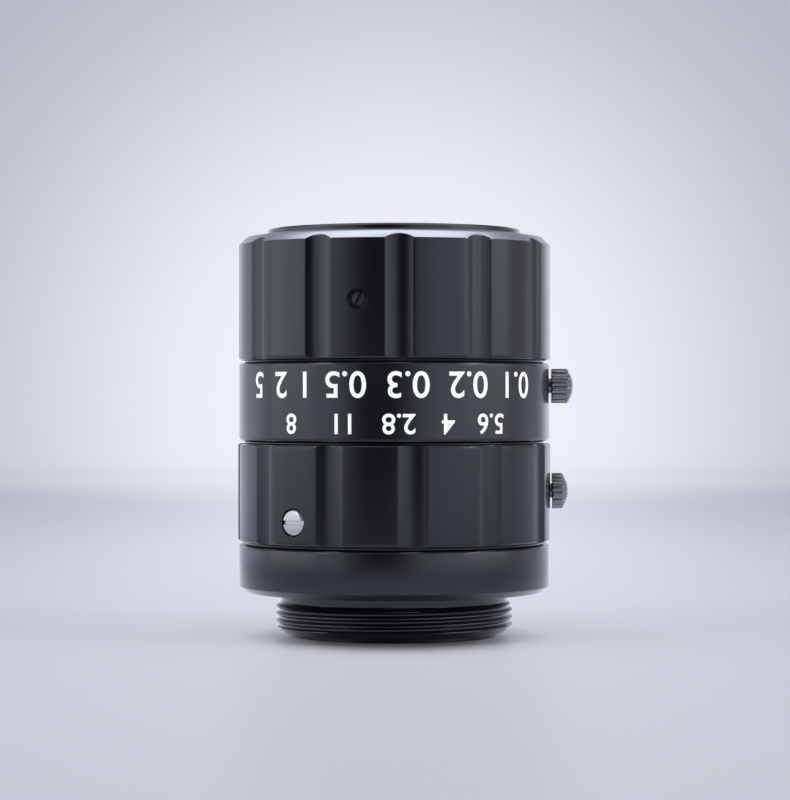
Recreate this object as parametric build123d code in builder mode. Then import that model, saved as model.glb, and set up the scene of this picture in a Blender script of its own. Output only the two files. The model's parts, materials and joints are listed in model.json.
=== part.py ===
from build123d import *
import math
import os

os.makedirs("parts", exist_ok=True)

# A 16 mm class machine vision lens for a C-mount camera.
# Origin: where the optical axis crosses the mounting flange. +Z points to the scene.

# Fits and small edges
running_gap = 0.05
thread_gap = 0.02
seat_gap = 0.02
edge_break = 0.18
overcut = 1.0

# Camera end: the 1 inch thread, and the turned steps inside it
thread_r = 12.7
relief_depth = 0.5
relief_length = 1.0
undercut_depth = 0.3
undercut_rim = 0.1
thread_end = 3.64
lead_chamfer = 0.85
nose_end = 4.3
nose_step = 0.7
spigot_end = 4.7
spigot_wall = 0.95
base_h = 5.05
base_chamfer_r = 0.8
base_chamfer_h = 0.65
base_floor = 1.6

# Outer rings, stacked from the base ring to the front
lower_seam = 0.36
iris_ring_h = 10.47
upper_seam = 0.28
label_h = 8.25
focus_seam = 0.3
focus_ring_h = 12.33
cone_rise = 1.13
shoulder_w = 0.88
shoulder_h = 0.82
rim_proud = 0.55
flute_count = 12
flute_r = 3.0
flute_offset = 2.55
iris_flute_turn = 6.5
focus_flute_turn = 1.9

# Steps of the outer radii, from the camera thread outwards
extension_step = 1.9
label_wall = 2.0
iris_ring_proud = 0.15
focus_ring_proud = 0.1
base_ring_proud = 0.05
seam_depth = 0.55

# Walls of the barrel, the helicoid and the lens cell, from the outside inwards
sleeve_step = 0.4
sleeve_wall = 1.55
guide_tube_wall = 1.35
cell_wall = 1.6
groove_gap = 0.2
groove_floor = 1.24
focus_travel = 1.5

# Focus sleeve and the collar of the lens cell that it turns on
lip_h = 1.5
collar_h = 1.55
ring_flange_t = 1.77
sleeve_top_wall = 1.2
sleeve_retainer_h = 1.25
neck_step = 0.6
neck_h = 2.4
guide_tube_gap = 0.9
key_pin_r = 0.6
key_pin_drop = 1.8
key_pin_azimuth = 150.0
key_depth = 0.7

# Front ring and filter thread
rim_step = 0.95
rim_wall = 0.8
cone_land = 0.17
filter_thread_l = 2.71
front_lip_w = 1.55
front_lip_h = 0.6
front_skirt_h = 0.9

# Iris
blade_count = 6
blade_w = 3.0
blade_t = 0.08
blade_pitch = 0.11
blade_start_angle = -12.0
blade_sweep_angle = 147.0
blade_root = 2.5
pivot_inset = 1.85
pivot_pin_r = 0.35
cam_arm = 2.0
cam_arm_angle = -103.5
cam_pin_r = 0.3
pin_socket_gap = 0.03
blade_turn_total = 27.0
blade_ratio = 0.5
blade_turn_rest = 11.0
drive_ring_rim = 0.5
drive_ring_t = 0.8
drive_ring_rise = 1.14
finger_wall = 0.55
finger_half_angle = 11.0
fork_clearance = 0.46
web_t = 1.45
stop_land = 0.4
stop_rim = 0.1
pivot_socket = 0.65
drive_pin_r = 0.6
drive_pin_z = 2.45
drive_pin_azimuth = -38.7
drive_pin_grip = 0.65
window_slack = 0.3

# Rear glass and its cell
glass_gap = 0.04
cell_lift = 0.2
rear_thread_step = 0.4
rear_thread_w = 1.3
rear_nose_step = 0.1
rear_cell_wall = 2.1
rear_lip_h = 0.6
rear_lip_w = 0.8
rear_rim_h = 0.4
rear_retainer_h = 1.2
rear_retainer_step = 0.38
rear_retainer_slot = 1.0
rear_glass_rim = 0.86
rear_spacer_inset = 0.1
rear_a_t = 2.35
rear_a_bulge = 1.38
rear_a_hollow = 1.09
rear_a_air = 2.6
rear_b_t = 1.8
rear_b_low_bulge = 0.53
rear_b_high_bulge = 0.98
rear_b_air = 1.0
rear_c_t = 2.0
rear_c_bulge = 1.22
rear_c_hollow = 0.71

# Cemented doublet
cement_gap = 0.02
doublet_wall = 3.4
doublet_seat_w = 1.6
doublet_air = 2.8
doublet_rear_t = 5.4
doublet_rear_rim = 1.76
doublet_rear_hollow = 1.52
doublet_joint_rim = 0.26
doublet_joint_bulge = 2.5
doublet_front_t = 1.2
doublet_front_rim = 0.56
doublet_front_bulge = 2.51
doublet_spacer_w = 0.51

# Front glass, the second glass behind it, and their retainer
front_cell_wall = 1.5
second_t = 2.2
second_low_rim = 2.16
second_hollow = 1.17
second_high_rim = 0.96
second_bulge = 2.71
front_air = 4.4
front_spacer_w = 0.76
front_glass_t = 2.6
front_glass_depth = 2.2
front_low_rim = 1.46
front_hollow = 2.41
front_high_rim = 0.66
front_bulge = 1.08
front_retainer_step = 0.6
front_retainer_w = 1.2
front_retainer_h = 1.4
front_retainer_slot = 1.2

# Screws
set_screw_r = 0.8
set_screw_azimuth = -13.0
set_screw_count = 3
set_screw_z = 6.09
set_screw_sink = 0.4
set_screw_countersink_r = 1.15
set_screw_slot = 0.28
set_screw_slot_tilt = 26.0
drive_head_r = 1.4
drive_head_h = 0.85
drive_head_proud = 0.04
drive_slot = 0.45
screw_slot_depth = 0.4
lock_azimuth = 90.0
lock_shank_r = 0.8
lock_tip_r = 0.7
lock_tip_h = 0.6
focus_lock_drop = 2.41
focus_lock_head_r = 1.875
focus_lock_head_h = 2.36
focus_lock_stand_off = 0.27
iris_lock_rise = 5.34
iris_lock_head_r = 1.925
iris_lock_head_h = 1.76
iris_lock_stand_off = 0.19
knurl_count = 16
knurl_r = 0.3
knurl_depth = 0.2
lock_dome_h = 0.7

# Radii of the camera end and the outer rings
relief_r = thread_r - relief_depth
nose_r = thread_r - lead_chamfer
spigot_r = nose_r - nose_step
mount_bore_r = spigot_r - spigot_wall
extension_r = thread_r + extension_step
label_r = extension_r + label_wall
iris_ring_r = label_r + iris_ring_proud
focus_ring_r = label_r + focus_ring_proud
base_r = label_r + base_ring_proud
seam_r = label_r - seam_depth

# Radii of the barrel, the helicoid and the lens cell
sleeve_r = extension_r + sleeve_step
sleeve_bore_r = sleeve_r - sleeve_wall
guide_tube_r = sleeve_bore_r - running_gap
barrel_bore_r = guide_tube_r - guide_tube_wall
cell_r = barrel_bore_r - running_gap
cell_bore_r = cell_r - cell_wall
neck_r = cell_r + neck_step
front_ring_r = neck_r + rim_step
cone_r = front_ring_r + cone_land
filter_thread_r = front_ring_r - rim_wall
front_lip_r = filter_thread_r - front_lip_w

# Radii of the iris
drive_ring_r = cell_bore_r - running_gap
pivot_circle_r = drive_ring_r - pivot_inset
stop_r = pivot_circle_r - blade_root - blade_w / 2
drive_ring_bore = stop_r + drive_ring_rim
drive_pin_tip_r = drive_ring_r - drive_pin_grip
drive_slot_r = drive_pin_r + running_gap

# Radii of the glass and what holds it
rear_thread_r = cell_bore_r + rear_thread_step
rear_cell_r = rear_thread_r - rear_thread_w
rear_nose_r = rear_cell_r + rear_nose_step
rear_bore_r = rear_cell_r - rear_cell_wall
rear_lip_r = rear_bore_r - rear_lip_w
rear_retainer_r = rear_bore_r + rear_retainer_step
rear_glass_r = rear_bore_r - glass_gap
rear_spacer_in = rear_glass_r - rear_glass_rim + rear_spacer_inset
doublet_r = cell_r - doublet_wall
doublet_glass_r = doublet_r - glass_gap
front_bore_r = cell_r - front_cell_wall
front_glass_r = front_bore_r - glass_gap
front_retainer_r = front_bore_r + front_retainer_step
front_retainer_in = front_retainer_r - front_retainer_w

# Heights of the outer rings, and of what is set by each
iris_z0 = base_h + lower_seam
iris_z1 = iris_z0 + iris_ring_h
label_z0 = iris_z1 + upper_seam
label_z1 = label_z0 + label_h
focus_z0 = label_z1 + focus_seam
focus_z1 = focus_z0 + focus_ring_h
cone_z1 = focus_z1 + cone_rise
rim_z = cone_z1 + rim_proud
iris_lock_z = iris_z0 + iris_lock_rise
focus_lock_z = label_z1 - focus_lock_drop
set_screw_height = focus_z0 + set_screw_z
sleeve_z0 = label_z0 + groove_floor + groove_gap
sleeve_top = cone_z1 - ring_flange_t

# Heights of the front of the lens cell, from the filter thread backwards
filter_z0 = rim_z - filter_thread_l
neck_z1 = filter_z0 - front_lip_h
front_skirt_z0 = neck_z1 - front_skirt_h
front_glass_z1 = neck_z1 - front_glass_depth
front_glass_z0 = front_glass_z1 - front_glass_t
second_z1 = front_glass_z0 - front_air
second_z0 = second_z1 - second_t
doublet_top_z = second_z0 - doublet_air
doublet_joint_z = doublet_top_z - doublet_front_t
doublet_z0 = doublet_joint_z - doublet_rear_t
collar_z1 = neck_z1 - neck_h
collar_z0 = collar_z1 - collar_h
lip_z1 = collar_z0 - running_gap
lip_z0 = lip_z1 - lip_h
sleeve_retainer_z0 = collar_z1 + running_gap
sleeve_retainer_z1 = sleeve_retainer_z0 + sleeve_retainer_h
guide_tube_top = lip_z0 - guide_tube_gap
key_pin_z = guide_tube_top - key_pin_drop

# Heights of the iris, from its drive pin forwards
pin_z = iris_z0 + drive_pin_z
drive_z0 = pin_z + drive_ring_rise
blade_z0 = drive_z0 + drive_ring_t + running_gap
web_z0 = blade_z0 + blade_count * blade_pitch + running_gap
web_z1 = web_z0 + web_t

# Heights of the rear glass, from the iris backwards
fork_reach = drive_ring_rise + focus_travel + 2 * drive_pin_r + window_slack
cell_z0 = base_floor + cell_lift
rear_screw_z1 = drive_z0 - fork_reach - fork_clearance
rear_cell_z1 = drive_z0 - running_gap
rear_a_z1 = rear_cell_z1 - rear_lip_h
rear_a_z0 = rear_a_z1 - rear_a_t
rear_b_z1 = rear_a_z0 - rear_a_air
rear_b_z0 = rear_b_z1 - rear_b_t
rear_c_z1 = rear_b_z0 - rear_b_air
rear_c_z0 = rear_c_z1 - rear_c_t
rear_retainer_z0 = rear_c_z0 - rear_retainer_h
rear_cell_z0 = rear_retainer_z0 - rear_rim_h

# Turns of the drive pin away from rest that the iris needs, in degrees
pin_span_back = blade_turn_rest / blade_ratio
pin_span_forward = (blade_turn_total - blade_turn_rest) / blade_ratio


def azimuth_angle(azimuth):
    # azimuths are counted from the side that faces the viewer, -Y, towards +X
    return azimuth - 90


def radial_plane(azimuth, radius, height):
    # a plane square to a radius, with its normal pointing outwards
    angle = math.radians(azimuth_angle(azimuth))
    out = Vector(math.cos(angle), math.sin(angle), 0)
    return Plane(
        origin=(radius * out.X, radius * out.Y, height),
        x_dir=(-out.Y, out.X, 0),
        z_dir=(out.X, out.Y, 0),
    )


def turned_section(*points):
    # a closed profile of (radius, height) points, beside the optical axis
    with BuildSketch(Plane.XZ) as profile:
        with BuildLine():
            Polyline(*points, close=True)
        make_face()
    return profile.sketch


def sector(inner_r, outer_r, start, sweep, height):
    # a flat ring sector at one height, angles in degrees from +X
    with BuildSketch(Plane.XY.offset(height)) as shape:
        with BuildLine():
            inner = CenterArc((0, 0), inner_r, start, sweep)
            outer = CenterArc((0, 0), outer_r, start, sweep)
            Line(inner @ 0, outer @ 0)
            Line(inner @ 1, outer @ 1)
        make_face()
    return shape.sketch


def half_way(clear_r, bulge):
    # height over its rim of a spherical face, half way between its rim and the axis
    curve_r = (clear_r**2 + bulge**2) / (2 * abs(bulge))
    rise = math.sqrt(curve_r**2 - (clear_r / 2) ** 2) - curve_r + abs(bulge)
    return math.copysign(rise, bulge)


def lens_section(edge_r, low_z, low_rim, low_bulge, high_z, high_rim, high_bulge):
    # half of a lens: spherical faces inside flat ground rims, a bulge below 0 is hollow
    low_clear = edge_r - low_rim
    high_clear = edge_r - high_rim
    low_pole = low_z - low_bulge
    high_pole = high_z + high_bulge
    low_middle = (low_clear / 2, low_z - half_way(low_clear, low_bulge))
    high_middle = (high_clear / 2, high_z + half_way(high_clear, high_bulge))
    with BuildSketch(Plane.XZ) as profile:
        with BuildLine():
            ThreePointArc((0, low_pole), low_middle, (low_clear, low_z))
            Polyline((low_clear, low_z), (edge_r, low_z), (edge_r, high_z), (high_clear, high_z))
            ThreePointArc((high_clear, high_z), high_middle, (0, high_pole))
            Line((0, high_pole), (0, low_pole))
        make_face()
    return profile.sketch


def cut_flutes(ring_r, turn, low_z, high_z):
    # straight finger flutes, scooped by a round cutter along the whole ring
    with BuildSketch(Plane.XY.offset(low_z)) as cutters:
        with PolarLocations(ring_r + flute_offset, flute_count, azimuth_angle(turn)):
            Circle(flute_r)
    extrude(cutters.sketch, amount=high_z - low_z, mode=Mode.SUBTRACT)


def cut_radial(azimuth, start_r, end_r, height, hole_r):
    # a round hole that runs outwards between two radii
    with BuildSketch(radial_plane(azimuth, start_r, height)) as hole:
        Circle(hole_r)
    extrude(hole.sketch, amount=end_r - start_r, mode=Mode.SUBTRACT)


def write(piece, name):
    piece.part.label = name
    export_step(piece.part, f"parts/{name}.step")


# Mount base: thread boss, flange and grip ring turned in one piece
with BuildPart() as mount_base:
    recess_r = extension_r + seat_gap
    undercut_r = thread_r + undercut_rim
    revolve(
        turned_section(
            (mount_bore_r, -spigot_end),
            (spigot_r, -spigot_end),
            (spigot_r, -nose_end),
            (nose_r, -nose_end),
            (thread_r, -thread_end),
            (thread_r, -relief_length),
            (relief_r, -relief_length),
            (relief_r, undercut_depth),
            (undercut_r, undercut_depth),
            (undercut_r, 0),
            (base_r - base_chamfer_r, 0),
            (base_r, base_chamfer_h),
            (base_r, base_h - edge_break),
            (base_r - edge_break, base_h),
            (recess_r, base_h),
            (recess_r, base_floor),
            (mount_bore_r, base_floor),
        ),
        axis=Axis.Z,
    )
write(mount_base, "mount_base")

# Main barrel: label band, guide tube for the lens cell, and the extension under the iris ring
with BuildPart() as main_barrel:
    groove_z = label_z0 + groove_floor
    revolve(
        turned_section(
            (barrel_bore_r, base_floor),
            (extension_r, base_floor),
            (extension_r, label_z0),
            (label_r - edge_break, label_z0),
            (label_r, label_z0 + edge_break),
            (label_r, label_z1 - edge_break),
            (label_r - edge_break, label_z1),
            (sleeve_r + groove_gap, label_z1),
            (sleeve_r + groove_gap, groove_z),
            (guide_tube_r, groove_z),
            (guide_tube_r, guide_tube_top),
            (barrel_bore_r, guide_tube_top),
        ),
        axis=Axis.Z,
    )
    # slot that the iris drive screw sweeps along, with round ends
    slot_start = azimuth_angle(drive_pin_azimuth) - pin_span_back
    slot_sweep = pin_span_back + pin_span_forward
    slot_ring = sector(cell_r, extension_r + overcut, slot_start, slot_sweep, pin_z - drive_slot_r)
    extrude(slot_ring, amount=2 * drive_slot_r, mode=Mode.SUBTRACT)
    for end_turn in (-pin_span_back, pin_span_forward):
        azimuth = drive_pin_azimuth + end_turn
        cut_radial(azimuth, cell_r - overcut, extension_r + overcut, pin_z, drive_slot_r)
    # tapped hole of the focus lock screw, through the outer wall only
    lock_hole_r = lock_shank_r + running_gap
    cut_radial(lock_azimuth, sleeve_r, label_r + overcut, focus_lock_z, lock_hole_r)
    # hole of the key pin, through the guide tube only
    key_hole_r = key_pin_r + thread_gap
    cut_radial(key_pin_azimuth, cell_r, guide_tube_r + overcut, key_pin_z, key_hole_r)
write(main_barrel, "main_barrel")

# Key pin: keeps the lens cell from turning, so that it only slides
with BuildPart() as focus_key_pin:
    with BuildSketch(radial_plane(key_pin_azimuth, cell_r - key_depth, key_pin_z)):
        Circle(key_pin_r)
    extrude(amount=guide_tube_r - cell_r + key_depth - edge_break)
write(focus_key_pin, "focus_key_pin")

# Iris ring: fluted grip that turns on the barrel extension
with BuildPart() as iris_ring:
    revolve(
        turned_section(
            (extension_r + running_gap, base_h + running_gap),
            (seam_r, base_h + running_gap),
            (seam_r, iris_z0),
            (iris_ring_r - edge_break, iris_z0),
            (iris_ring_r, iris_z0 + edge_break),
            (iris_ring_r, iris_z1 - edge_break),
            (iris_ring_r - edge_break, iris_z1),
            (seam_r, iris_z1),
            (seam_r, label_z0 - running_gap),
            (extension_r + running_gap, label_z0 - running_gap),
        ),
        axis=Axis.Z,
    )
    cut_flutes(iris_ring_r, iris_flute_turn, iris_z0 - overcut, iris_z1 + overcut)
    drive_seat = iris_ring_r - drive_head_h + drive_head_proud
    drive_head_hole_r = drive_head_r + 2 * running_gap
    cut_radial(drive_pin_azimuth, extension_r, iris_ring_r, pin_z, set_screw_r + thread_gap)
    cut_radial(drive_pin_azimuth, drive_seat, iris_ring_r + overcut, pin_z, drive_head_hole_r)
    cut_radial(lock_azimuth, extension_r, iris_ring_r + overcut, iris_lock_z, lock_hole_r)
write(iris_ring, "iris_ring")

# Iris drive screw: its pin reaches through the barrel into the fork of the drive ring
with BuildPart() as iris_drive_screw:
    shank_start = extension_r + running_gap
    with BuildSketch(radial_plane(drive_pin_azimuth, drive_pin_tip_r, pin_z)):
        Circle(drive_pin_r)
    extrude(amount=shank_start - drive_pin_tip_r)
    with BuildSketch(radial_plane(drive_pin_azimuth, shank_start, pin_z)):
        Circle(set_screw_r)
    extrude(amount=drive_seat - shank_start)
    with BuildSketch(radial_plane(drive_pin_azimuth, drive_seat, pin_z)):
        Circle(drive_head_r)
    extrude(amount=drive_head_h)
    head_face = faces().filter_by(GeomType.PLANE).sort_by_distance((0, 0, pin_z))[-1]
    chamfer(head_face.edges(), edge_break / 2)
    slot_floor = drive_seat + drive_head_h - screw_slot_depth
    with BuildSketch(radial_plane(drive_pin_azimuth, slot_floor, pin_z)):
        Rectangle(3 * drive_head_r, drive_slot)
    extrude(amount=2 * screw_slot_depth, mode=Mode.SUBTRACT)
write(iris_drive_screw, "iris_drive_screw")

# Focus ring: fluted cover with a bare shoulder and cone in front, clamped on the sleeve
with BuildPart() as focus_ring:
    ring_bore_r = sleeve_r + seat_gap
    rim_hole_r = front_ring_r + running_gap
    revolve(
        turned_section(
            (ring_bore_r, label_z1 + running_gap),
            (seam_r, label_z1 + running_gap),
            (seam_r, focus_z0),
            (focus_ring_r - edge_break, focus_z0),
            (focus_ring_r, focus_z0 + edge_break),
            (focus_ring_r, focus_z1),
            (focus_ring_r - shoulder_w, focus_z1 + shoulder_h),
            (cone_r, cone_z1),
            (rim_hole_r, cone_z1),
            (rim_hole_r, sleeve_top),
            (ring_bore_r, sleeve_top),
        ),
        axis=Axis.Z,
    )
    cut_flutes(focus_ring_r, focus_flute_turn, focus_z0 - overcut, cone_z1 + overcut)
    mouth_start = focus_ring_r + edge_break / 2
    mouth_end = focus_ring_r - set_screw_sink
    for index in range(set_screw_count):
        azimuth = set_screw_azimuth + index * 360 / set_screw_count
        cut_radial(azimuth, sleeve_r, focus_ring_r, set_screw_height, set_screw_r + thread_gap)
        with BuildSketch(radial_plane(azimuth, mouth_start, set_screw_height)) as mouth:
            Circle(set_screw_countersink_r)
        extrude(mouth.sketch, amount=mouth_end - mouth_start, taper=30, mode=Mode.SUBTRACT)
write(focus_ring, "focus_ring")

# Focus set screws: they clamp the ring to the sleeve after the infinity setting
with BuildPart() as focus_set_screws:
    screw_top = focus_ring_r - set_screw_sink
    for index in range(set_screw_count):
        azimuth = set_screw_azimuth + index * 360 / set_screw_count
        with BuildSketch(radial_plane(azimuth, sleeve_r + seat_gap, set_screw_height)):
            Circle(set_screw_r)
        extrude(amount=screw_top - sleeve_r - seat_gap)
        with BuildSketch(radial_plane(azimuth, screw_top - screw_slot_depth, set_screw_height)):
            Rectangle(3 * set_screw_r, set_screw_slot, rotation=90 + set_screw_slot_tilt)
        extrude(amount=2 * screw_slot_depth, mode=Mode.SUBTRACT)
write(focus_set_screws, "focus_set_screws")

# Helicoid sleeve: screws along the guide tube and carries the lens cell by its collar
with BuildPart() as helicoid_sleeve:
    top_bore_r = sleeve_r - sleeve_top_wall
    revolve(
        turned_section(
            (sleeve_bore_r, sleeve_z0),
            (sleeve_r, sleeve_z0),
            (sleeve_r, sleeve_top),
            (top_bore_r, sleeve_top),
            (top_bore_r, sleeve_retainer_z1),
            (sleeve_bore_r, sleeve_retainer_z1),
            (sleeve_bore_r, lip_z1),
            (cell_r + running_gap, lip_z1),
            (cell_r + running_gap, lip_z0),
            (sleeve_bore_r, lip_z0),
        ),
        axis=Axis.Z,
    )
write(helicoid_sleeve, "helicoid_sleeve")

# Sleeve retainer: ring that traps the collar of the lens cell in the sleeve
with BuildPart() as sleeve_retainer:
    revolve(
        turned_section(
            (neck_r + running_gap, sleeve_retainer_z0),
            (sleeve_bore_r - thread_gap, sleeve_retainer_z0),
            (sleeve_bore_r - thread_gap, sleeve_retainer_z1),
            (neck_r + running_gap, sleeve_retainer_z1),
        ),
        axis=Axis.Z,
    )
write(sleeve_retainer, "sleeve_retainer")

# Lens cell: the tube that holds all the glass and the iris, and slides to focus
with BuildPart() as lens_cell:
    collar_r = sleeve_bore_r - running_gap
    revolve(
        turned_section(
            (rear_thread_r + thread_gap, cell_z0),
            (cell_r, cell_z0),
            (cell_r, collar_z0),
            (collar_r, collar_z0),
            (collar_r, collar_z1),
            (neck_r, collar_z1),
            (neck_r, neck_z1),
            (front_retainer_r, neck_z1),
            (front_retainer_r, front_glass_z1),
            (front_bore_r, front_glass_z1),
            (front_bore_r, second_z0),
            (doublet_r, second_z0),
            (doublet_r, doublet_z0),
            (doublet_r - doublet_seat_w, doublet_z0),
            (stop_r + stop_rim, web_z1 - stop_land),
            (stop_r + stop_rim, web_z0),
            (cell_bore_r, web_z0),
            (cell_bore_r, rear_screw_z1),
            (rear_thread_r + thread_gap, rear_screw_z1),
        ),
        axis=Axis.Z,
    )
    # sockets that the blades turn in
    with BuildSketch(Plane.XY.offset(web_z0)) as sockets:
        with PolarLocations(pivot_circle_r, blade_count):
            Circle(pivot_pin_r + pin_socket_gap)
    extrude(sockets.sketch, amount=pivot_socket, mode=Mode.SUBTRACT)
    # window for the drive pin, tall enough for the focus travel
    window_half = drive_pin_r + window_slack
    window_margin = math.degrees(window_half / cell_bore_r)
    window_z = pin_z - focus_travel - window_half
    window = sector(
        cell_bore_r - overcut,
        cell_r + overcut,
        slot_start - window_margin,
        slot_sweep + 2 * window_margin,
        window_z,
    )
    extrude(window, amount=focus_travel + 2 * window_half, mode=Mode.SUBTRACT)
    # keyway that slides along the key pin
    keyway_floor = cell_r - key_depth - 2 * running_gap
    keyway_plane = radial_plane(key_pin_azimuth, keyway_floor, key_pin_z - focus_travel / 2)
    with BuildSketch(keyway_plane) as keyway:
        SlotCenterToCenter(focus_travel, 2 * (key_pin_r + running_gap), rotation=90)
    extrude(keyway.sketch, amount=cell_r + overcut - keyway_floor, mode=Mode.SUBTRACT)
write(lens_cell, "lens_cell")

# Front ring: screwed on the neck of the cell, with the filter thread inside
with BuildPart() as front_ring:
    revolve(
        turned_section(
            (neck_r + thread_gap, front_skirt_z0),
            (front_ring_r, front_skirt_z0),
            (front_ring_r, rim_z - edge_break),
            (front_ring_r - edge_break, rim_z),
            (filter_thread_r + edge_break, rim_z),
            (filter_thread_r, rim_z - edge_break),
            (filter_thread_r, filter_z0),
            (front_lip_r, filter_z0),
            (front_lip_r, neck_z1),
            (neck_r + thread_gap, neck_z1),
        ),
        axis=Axis.Z,
    )
write(front_ring, "front_ring")

# Front retainer: slotted ring that clamps the front glass
with BuildPart() as front_retainer:
    front_retainer_z1 = front_glass_z1 + front_retainer_h
    revolve(
        turned_section(
            (front_retainer_in, front_glass_z1),
            (front_retainer_r - thread_gap, front_glass_z1),
            (front_retainer_r - thread_gap, front_retainer_z1),
            (front_retainer_in + edge_break, front_retainer_z1),
            (front_retainer_in, front_retainer_z1 - edge_break),
        ),
        axis=Axis.Z,
    )
    with BuildSketch(Plane.XY.offset(front_retainer_z1 - screw_slot_depth)):
        Rectangle(3 * front_retainer_r, front_retainer_slot)
    extrude(amount=overcut, mode=Mode.SUBTRACT)
write(front_retainer, "front_retainer")

# Front glass, a thin meniscus that bulges forwards
with BuildPart() as front_element:
    front_section = lens_section(
        front_glass_r,
        front_glass_z0,
        front_low_rim,
        -front_hollow,
        front_glass_z1,
        front_high_rim,
        front_bulge,
    )
    revolve(front_section, axis=Axis.Z)
write(front_element, "front_element")

# Second glass
with BuildPart() as second_element:
    second_section = lens_section(
        front_glass_r,
        second_z0,
        second_low_rim,
        -second_hollow,
        second_z1,
        second_high_rim,
        second_bulge,
    )
    revolve(second_section, axis=Axis.Z)
write(second_element, "second_element")

# Cemented doublet, two glasses with one shared curve
with BuildPart() as doublet_front:
    doublet_front_section = lens_section(
        doublet_glass_r,
        doublet_joint_z + cement_gap,
        doublet_joint_rim,
        doublet_joint_bulge,
        doublet_top_z,
        doublet_front_rim,
        doublet_front_bulge,
    )
    revolve(doublet_front_section, axis=Axis.Z)
write(doublet_front, "doublet_front")

with BuildPart() as doublet_rear:
    doublet_rear_section = lens_section(
        doublet_glass_r,
        doublet_z0,
        doublet_rear_rim,
        -doublet_rear_hollow,
        doublet_joint_z,
        doublet_joint_rim,
        -doublet_joint_bulge,
    )
    revolve(doublet_rear_section, axis=Axis.Z)
write(doublet_rear, "doublet_rear")

# Rear cell: screws into the back of the lens cell and carries the rear glass
with BuildPart() as rear_cell:
    rear_retainer_bore = rear_retainer_r + thread_gap
    revolve(
        turned_section(
            (rear_retainer_bore, rear_cell_z0),
            (rear_nose_r, rear_cell_z0),
            (rear_nose_r, cell_z0),
            (rear_thread_r, cell_z0),
            (rear_thread_r, rear_screw_z1),
            (rear_cell_r, rear_screw_z1),
            (rear_cell_r, rear_cell_z1),
            (rear_lip_r, rear_cell_z1),
            (rear_lip_r, rear_a_z1),
            (rear_bore_r, rear_a_z1),
            (rear_bore_r, rear_c_z0),
            (rear_retainer_bore, rear_c_z0),
        ),
        axis=Axis.Z,
    )
write(rear_cell, "rear_cell")

# Three rear glasses: bulged backwards and hollow in front, bulged both ways, and as the first
with BuildPart() as rear_element_a:
    rear_a_section = lens_section(
        rear_glass_r,
        rear_a_z0,
        rear_glass_rim,
        rear_a_bulge,
        rear_a_z1,
        rear_glass_rim,
        -rear_a_hollow,
    )
    revolve(rear_a_section, axis=Axis.Z)
write(rear_element_a, "rear_element_a")

with BuildPart() as rear_element_b:
    rear_b_section = lens_section(
        rear_glass_r,
        rear_b_z0,
        rear_glass_rim,
        rear_b_low_bulge,
        rear_b_z1,
        rear_glass_rim,
        rear_b_high_bulge,
    )
    revolve(rear_b_section, axis=Axis.Z)
write(rear_element_b, "rear_element_b")

with BuildPart() as rear_element_c:
    rear_c_section = lens_section(
        rear_glass_r,
        rear_c_z0,
        rear_glass_rim,
        rear_c_bulge,
        rear_c_z1,
        rear_glass_rim,
        -rear_c_hollow,
    )
    revolve(rear_c_section, axis=Axis.Z)
write(rear_element_c, "rear_element_c")


def spacer_ring(outer_r, inner_r, low_z, high_z):
    # a plain ring that holds two glasses apart
    with BuildPart() as spacer:
        revolve(
            turned_section(
                (inner_r, low_z),
                (outer_r, low_z),
                (outer_r, high_z),
                (inner_r, high_z),
            ),
            axis=Axis.Z,
        )
    return spacer


front_spacer_in = front_glass_r - front_spacer_w
doublet_spacer_in = doublet_glass_r - doublet_spacer_w
write(spacer_ring(front_glass_r, front_spacer_in, second_z1, front_glass_z0), "front_spacer")
write(spacer_ring(doublet_glass_r, doublet_spacer_in, doublet_top_z, second_z0), "doublet_spacer")
write(spacer_ring(rear_glass_r, rear_spacer_in, rear_b_z1, rear_a_z0), "rear_spacer_a")
write(spacer_ring(rear_glass_r, rear_spacer_in, rear_c_z1, rear_b_z0), "rear_spacer_b")

# Rear retainer: slotted ring that clamps the rear glass
with BuildPart() as rear_retainer:
    revolve(
        turned_section(
            (rear_spacer_in, rear_retainer_z0),
            (rear_retainer_r, rear_retainer_z0),
            (rear_retainer_r, rear_c_z0),
            (rear_spacer_in, rear_c_z0),
        ),
        axis=Axis.Z,
    )
    with BuildSketch(Plane.XY.offset(rear_retainer_z0)):
        Rectangle(3 * rear_retainer_r, rear_retainer_slot)
    extrude(amount=screw_slot_depth, mode=Mode.SUBTRACT)
write(rear_retainer, "rear_retainer")


def cam_point(blade_turn):
    # where a blade's cam pin is, seen from the drive ring, when the blade has turned this far
    arm = math.radians(cam_arm_angle + blade_turn)
    x = pivot_circle_r + cam_arm * math.cos(arm)
    y = cam_arm * math.sin(arm)
    back = -math.radians((blade_turn - blade_turn_rest) / blade_ratio)
    return (
        x * math.cos(back) - y * math.sin(back),
        x * math.sin(back) + y * math.cos(back),
    )


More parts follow.
